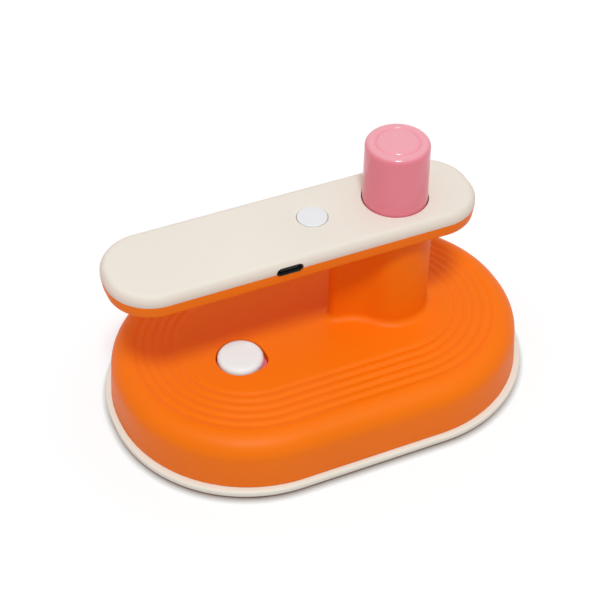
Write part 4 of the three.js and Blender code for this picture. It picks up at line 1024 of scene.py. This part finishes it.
def make_sole(sizes):
    skin = Skin()
    foot, reach, wall = sizes.rim_foot, -sizes.sole_flange, 2 * MM
    flange_foot = SOLE_TOP - 1.2 * MM
    rings = [*lower_edge(0.6 * MM, foot, 5), (0.0, flange_foot), (reach, flange_foot)]
    rings += [(reach, SOLE_TOP), (wall, SOLE_TOP), (wall, foot + sizes.sole_thickness)]
    loops = skin.ovals(sole_outline(sizes), rings, steps=20)
    skin.ends(loops)
    return skin.build("steam_sole")


def make_foot(sizes):
    """A rubber foot with a shallow dish, standing on the origin."""
    radius, peg = sizes.foot_radius, 2.2 * MM
    top = sizes.rim_foot - 0.1 * MM
    tip = sizes.rim_foot + 1.4 * MM
    profile = [(0.0, 0.25 * MM), (radius - 2 * MM, 0.2 * MM), (radius - 1.4 * MM, 0.0)]
    profile += [(radius - inset, height) for inset, height in lower_edge(sizes.foot_edge, 0.0, 5)]
    profile += [(radius, top), (peg, top), (peg, tip), (0.0, tip)]
    return turned("rubber_foot", profile, steps=40)


def make_screw(sizes, depth):
    """A countersunk screw with a cross recess, its face down at the origin."""
    skin = Skin()
    head, shank = sizes.screw_head, sizes.screw_shank
    chamfer = 0.15 * MM
    rings = [(head - chamfer, 0.0), (head, chamfer), (head, sizes.screw_sink * 0.5)]
    rings += [(shank, sizes.screw_sink - 0.1 * MM), (shank, depth - shank), (0.1 * MM, depth)]
    body = skin.circles(rings, steps=32)
    skin.patch(body[-1])
    cross = []
    for reach, half, height in ((1.5 * MM, 0.42 * MM, 0.0), (1.0 * MM, 0.3 * MM, 0.8 * MM)):
        turns = [Matrix.Rotation(quarter * math.pi / 2, 2) for quarter in range(4)]
        corners = [Vector(corner) for corner in ((reach, -half), (reach, half), (half, half))]
        cross.append([Vector((*(turn @ corner), height)) for turn in turns for corner in corners])
    cross = skin.tube(cross)
    skin.patch(body[0], [cross[0]])
    skin.patch(cross[1])
    return skin.build("screw")


def on_points(name, part, points, finish, turn=0.0):
    """Repeats a part on points and returns the one object."""
    layout = bpy.data.meshes.new(name)
    layout.from_pydata([Vector(point) for point in points], [], [])
    values = {"part": part, "turn": turn, "seed": 7, "material": FINISHES[finish]}
    made = grow(add_object(layout), fastener_tree(), values)
    bpy.data.objects.remove(part)
    return made


# ---- Stage ----


def seen_directly(tree):
    """1 for camera, glossy and transmission rays."""
    path = tree.nodes.new("ShaderNodeLightPath").outputs
    two = calculate(tree, "ADD", path["Is Camera Ray"], path["Is Glossy Ray"])
    return calculate(tree, "ADD", two, path["Is Transmission Ray"], clamp=True)


def floor_finish(settings):
    """A floor that renders white where it is lit and takes the shadow, darkest close under the rim."""
    material, tree = blank_finish("Studio Floor")
    tree.nodes.remove(tree.nodes["Principled BSDF"])
    solve = partial(calculate, tree)
    seen = seen_directly(tree)
    dim = solve("MULTIPLY", settings.bounce, solve("SUBTRACT", 1.0, seen))
    paper = solve("MULTIPLY", seen, spread(tree, noise(tree, coordinates(tree), 3.0), 0.86, 0.865))
    tone = solve("ADD", dim, paper)
    close = add(tree, "ShaderNodeAmbientOcclusion", {"Distance": settings.contact})
    tones, glows = {}, {}
    for channel, (fall, glow) in enumerate(zip(settings.contact_falls, settings.floor_glow)):
        open_share = solve("POWER", close.outputs["AO"], fall)
        tones[channel] = solve("MULTIPLY", tone, open_share)
        glows[channel] = solve("MULTIPLY", solve("MULTIPLY", seen, glow), open_share)
    shaders = {}
    for i, (kind, channels) in enumerate((("BsdfDiffuse", tones), ("Emission", glows))):
        tint = add(tree, "ShaderNodeCombineColor", channels).outputs[0]
        shaders[i] = add(tree, "ShaderNode" + kind, {"Color": tint}).outputs[0]
    both = add(tree, "ShaderNodeAddShader", shaders)
    tree.links.new(both.outputs[0], tree.nodes["Material Output"].inputs["Surface"])
    return material


def light_studio(settings):
    sun = bpy.data.lights.new("Key Light", "SUN")
    sun.energy = settings.key_strength
    sun.angle = settings.key_size
    sun.color = settings.key_colour
    lamp = bpy.data.objects.new("Key Light", sun)
    lamp.rotation_mode = "QUATERNION"
    lamp.rotation_quaternion = Vector(settings.key_way).to_track_quat("Z", "Y")
    bpy.context.scene.collection.objects.link(lamp)
    world = bpy.data.worlds.new("Studio")
    world.use_nodes = True
    tree = world.node_tree
    sky = tree.nodes["Background"].inputs
    height = split(tree, tree.nodes.new("ShaderNodeTexCoord").outputs["Generated"])["Z"]
    dome = blend(tree, height, settings.side_colour, settings.above_colour)
    direct = seen_directly(tree)
    tree.links.new(blend(tree, direct, dome, (1.0, 1.0, 1.0)), sky["Color"])
    rest = calculate(tree, "MULTIPLY", calculate(tree, "SUBTRACT", 1.0, direct), settings.ambient)
    tree.links.new(calculate(tree, "ADD", direct, rest), sky["Strength"])
    bpy.context.scene.world = world


def place_camera(settings):
    azimuth, elevation = settings.azimuth, settings.elevation
    level = math.cos(elevation)
    back = Vector((math.sin(azimuth) * level, -math.cos(azimuth) * level, math.sin(elevation)))
    right = Vector((math.cos(azimuth), math.sin(azimuth), 0.0))
    right.rotate(Matrix.Rotation(settings.roll, 3, back))
    up = back.cross(right)
    data = bpy.data.cameras.new("Camera")
    data.lens = settings.lens
    data.sensor_width = 36.0
    camera = bpy.data.objects.new("Camera", data)
    place = Vector((0.0, 0.0, settings.target))
    place += back * settings.distance + right * settings.aside + up * settings.lift
    camera.matrix_world = Matrix.Translation(place) @ Matrix((right, up, back)).transposed().to_4x4()
    bpy.context.scene.collection.objects.link(camera)
    bpy.context.scene.camera = camera


# ---- Operators ----


class STEAMER_OT_finishes(Operator):
    """Make the plastics, metals and rubbers"""

    bl_idname = "steamer.finishes"
    bl_label = "Finishes"

    def execute(self, context):
        make_finishes(context.scene.steamer_colours)
        return {"FINISHED"}


class STEAMER_OT_housing(Operator):
    """Build the orange base with its rippled top, filler well and column"""

    bl_idname = "steamer.housing"
    bl_label = "Housing"

    def execute(self, context):
        sizes = context.scene.steamer_housing
        values = plan(BASE_LOW, BASE_HIGH, sizes.corner_radius)
        values.update(crown_start=sizes.draft + sizes.edge_radius, material=FINISHES["orange_plastic"])
        made = grow(make_housing(sizes, context.scene.steamer_filler), crown_tree(), values, sizes)
        piece(made, "housing", "orange_plastic", "base_shell")
        return {"FINISHED"}


class STEAMER_OT_rim(Operator):
    """Build the pale rim and underside"""

    bl_idname = "steamer.rim"
    bl_label = "Rim"

    def execute(self, context):
        piece(make_rim(context.scene.steamer_underside), "housing", "cream_plastic", "bottom_cover")
        return {"FINISHED"}


class STEAMER_OT_feet(Operator):
    """Put the rubber feet under the rim"""

    bl_idname = "steamer.feet"
    bl_label = "Feet"

    def execute(self, context):
        points = [(x, y, 0.0) for x, y in middles(*FEET)]
        made = on_points("rubber_feet", make_foot(context.scene.steamer_underside), points, "dark_rubber")
        piece(made, "housing", "dark_rubber", *FEET)
        return {"FINISHED"}


class STEAMER_OT_screws(Operator):
    """Put the screws in the rim and under the grip"""

    bl_idname = "steamer.screws"
    bl_label = "Screws"

    def execute(self, context):
        for name, nodes in (("cover_screws", COVER_SCREWS), ("grip_screws", GRIP_SCREWS)):
            low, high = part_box(nodes[0])
            points = [(x, y, low.z) for x, y in middles(*nodes)]
            screw = make_screw(context.scene.steamer_underside, high.z - low.z)
            made = on_points(name, screw, points, "steel", math.pi / 2)
            piece(made, "housing", "steel", *nodes, crease=math.radians(25))
        return {"FINISHED"}


class STEAMER_OT_sole(Operator):
    """Build the perforated steam sole"""

    bl_idname = "steamer.sole"
    bl_label = "Steam Sole"

    def execute(self, context):
        sizes = context.scene.steamer_underside
        values = {"face_height": sizes.rim_foot, "material": FINISHES["plate_aluminium"]}
        made = grow(make_sole(sizes), perforation_tree(), values, sizes)
        piece(made, "housing", "plate_aluminium", "steam_plate")
        return {"FINISHED"}


class STEAMER_OT_grip_tray(Operator):
    """Build the orange lower shell of the grip"""

    bl_idname = "steamer.grip_tray"
    bl_label = "Grip Tray"

    def execute(self, context):
        scene = context.scene
        grip = scene.steamer_grip
        tray = make_grip_tray(grip, scene.steamer_housing.column_x, scene.steamer_underside)
        piece(cut_away(tray, port_cutter(grip)), "housing", "orange_plastic", "grip_lower_shell")
        return {"FINISHED"}


class STEAMER_OT_grip_lid(Operator):
    """Build the cream upper shell of the grip"""

    bl_idname = "steamer.grip_lid"
    bl_label = "Grip Lid"

    def execute(self, context):
        grip = context.scene.steamer_grip
        lid = make_grip_lid(grip, context.scene.steamer_housing.column_x)
        made = cut_away(lid, port_cutter(grip))
        piece(made, "housing", "cream_plastic", "grip_upper_shell", finish="lid_plastic")
        return {"FINISHED"}


class STEAMER_OT_pump(Operator):
    """Build the pink pump knob"""

    bl_idname = "steamer.pump"
    bl_label = "Pump Knob"

    def execute(self, context):
        piece(make_knob(context.scene.steamer_pump), "pump", "pink_plastic", "pump_knob")
        return {"FINISHED"}


class STEAMER_OT_filler(Operator):
    """Build the filler plug"""

    bl_idname = "steamer.filler"
    bl_label = "Filler Plug"

    def execute(self, context):
        piece(make_plug(context.scene.steamer_filler), "plug", "white_plastic", "filler_plug")
        return {"FINISHED"}


class STEAMER_OT_seal(Operator):
    """Build the pink seal in the filler well"""

    bl_idname = "steamer.seal"
    bl_label = "Filler Seal"

    def execute(self, context):
        piece(make_seal(context.scene.steamer_filler), "housing", "pink_silicone", "filler_seal")
        return {"FINISHED"}


class STEAMER_OT_button(Operator):
    """Build the power button"""

    bl_idname = "steamer.button"
    bl_label = "Power Button"

    def execute(self, context):
        piece(make_button(), "button", "white_plastic", "power_button", finish="button_plastic")
        return {"FINISHED"}


class STEAMER_OT_inlet(Operator):
    """Build the charging slot's lining and tongue"""

    bl_idname = "steamer.inlet"
    bl_label = "Charging Slot"

    def execute(self, context):
        piece(make_inlet(), "housing", "black_plastic", "charging_socket")
        return {"FINISHED"}


INNER_PARTS = {
    "pink_silicone": ("plate_gasket", "outlet_valve"),
    "cast_aluminium": ("steam_tray", "boiler_block"),
    "steel": ("heater_element", "thermal_cutout", "piston_rod", "pump_spring", "column_screw"),
    "clear_plastic": ("water_tank", "inlet_tube", "pump_barrel", "barrel_guide"),
    "cell_wrap": ("battery_cell_front", "battery_cell_rear"),
    "dark_rubber": ("piston_ring",),
    "black_plastic": ("column_nut", "tact_switch"),
    "circuit_board": ("control_board",),
}


class STEAMER_OT_inner_parts(Operator):
    """Give the parts inside their finishes"""

    bl_idname = "steamer.inner_parts"
    bl_label = "Inner Parts"

    def execute(self, context):
        for finish, nodes in INNER_PARTS.items():
            for node in nodes:
                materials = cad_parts[node].data.materials
                materials.clear()
                materials.append(FINISHES[finish])
        return {"FINISHED"}


class STEAMER_OT_studio(Operator):
    """Set up the pale floor, the light and the camera"""

    bl_idname = "steamer.studio"
    bl_label = "Studio"

    def execute(self, context):
        settings = context.scene.steamer_studio
        floor = bpy.data.meshes.new("studio_floor")
        half = 6.0
        corners = [(-half, -half, 0), (half, -half, 0), (half, half, 0), (-half, half, 0)]
        floor.from_pydata(corners, [], [(0, 1, 2, 3)])
        floor.materials.append(floor_finish(settings))
        add_object(floor)
        light_studio(settings)
        place_camera(settings)
        context.scene.view_settings.view_transform = "Standard"
        return {"FINISHED"}


class STEAMER_PT_panel(Panel):
    """Lists the steamer's pieces in the order in which they are made"""

    bl_idname = "STEAMER_PT_panel"
    bl_label = "Wallpaper Steamer"
    bl_space_type = "VIEW_3D"
    bl_region_type = "UI"
    bl_category = "Steamer"

    def draw(self, context):
        for operator in OPERATORS:
            self.layout.operator(operator.bl_idname)
        for label, (_, group) in SETTINGS.items():
            box = self.layout.box()
            box.label(text=group)
            values = getattr(context.scene, label)
            for name in values.__annotations__:
                box.prop(values, name)


SETTINGS = {
    "steamer_housing": (HousingSizes, "Housing"),
    "steamer_filler": (FillerSizes, "Filler"),
    "steamer_grip": (GripSizes, "Grip"),
    "steamer_pump": (PumpSizes, "Pump"),
    "steamer_underside": (UndersideSizes, "Underside"),
    "steamer_colours": (FinishColours, "Colours"),
    "steamer_studio": (StudioSettings, "Studio"),
}
OPERATORS = (
    STEAMER_OT_finishes,
    STEAMER_OT_housing,
    STEAMER_OT_rim,
    STEAMER_OT_feet,
    STEAMER_OT_screws,
    STEAMER_OT_sole,
    STEAMER_OT_grip_tray,
    STEAMER_OT_grip_lid,
    STEAMER_OT_pump,
    STEAMER_OT_filler,
    STEAMER_OT_seal,
    STEAMER_OT_button,
    STEAMER_OT_inlet,
    STEAMER_OT_inner_parts,
    STEAMER_OT_studio,
)


def register():
    for label, (group, _) in SETTINGS.items():
        bpy.utils.register_class(group)
        setattr(bpy.types.Scene, label, PointerProperty(type=group))
    for operator in OPERATORS:
        bpy.utils.register_class(operator)
    bpy.utils.register_class(STEAMER_PT_panel)


def unregister():
    bpy.utils.unregister_class(STEAMER_PT_panel)
    for operator in reversed(OPERATORS):
        bpy.utils.unregister_class(operator)
    for label, (group, _) in reversed(SETTINGS.items()):
        delattr(bpy.types.Scene, label)
        bpy.utils.unregister_class(group)


def main():
    register()
    for operator in OPERATORS:
        family, name = operator.bl_idname.split(".")
        getattr(getattr(bpy.ops, family), name)()


if __name__ == "__main__":
    main()
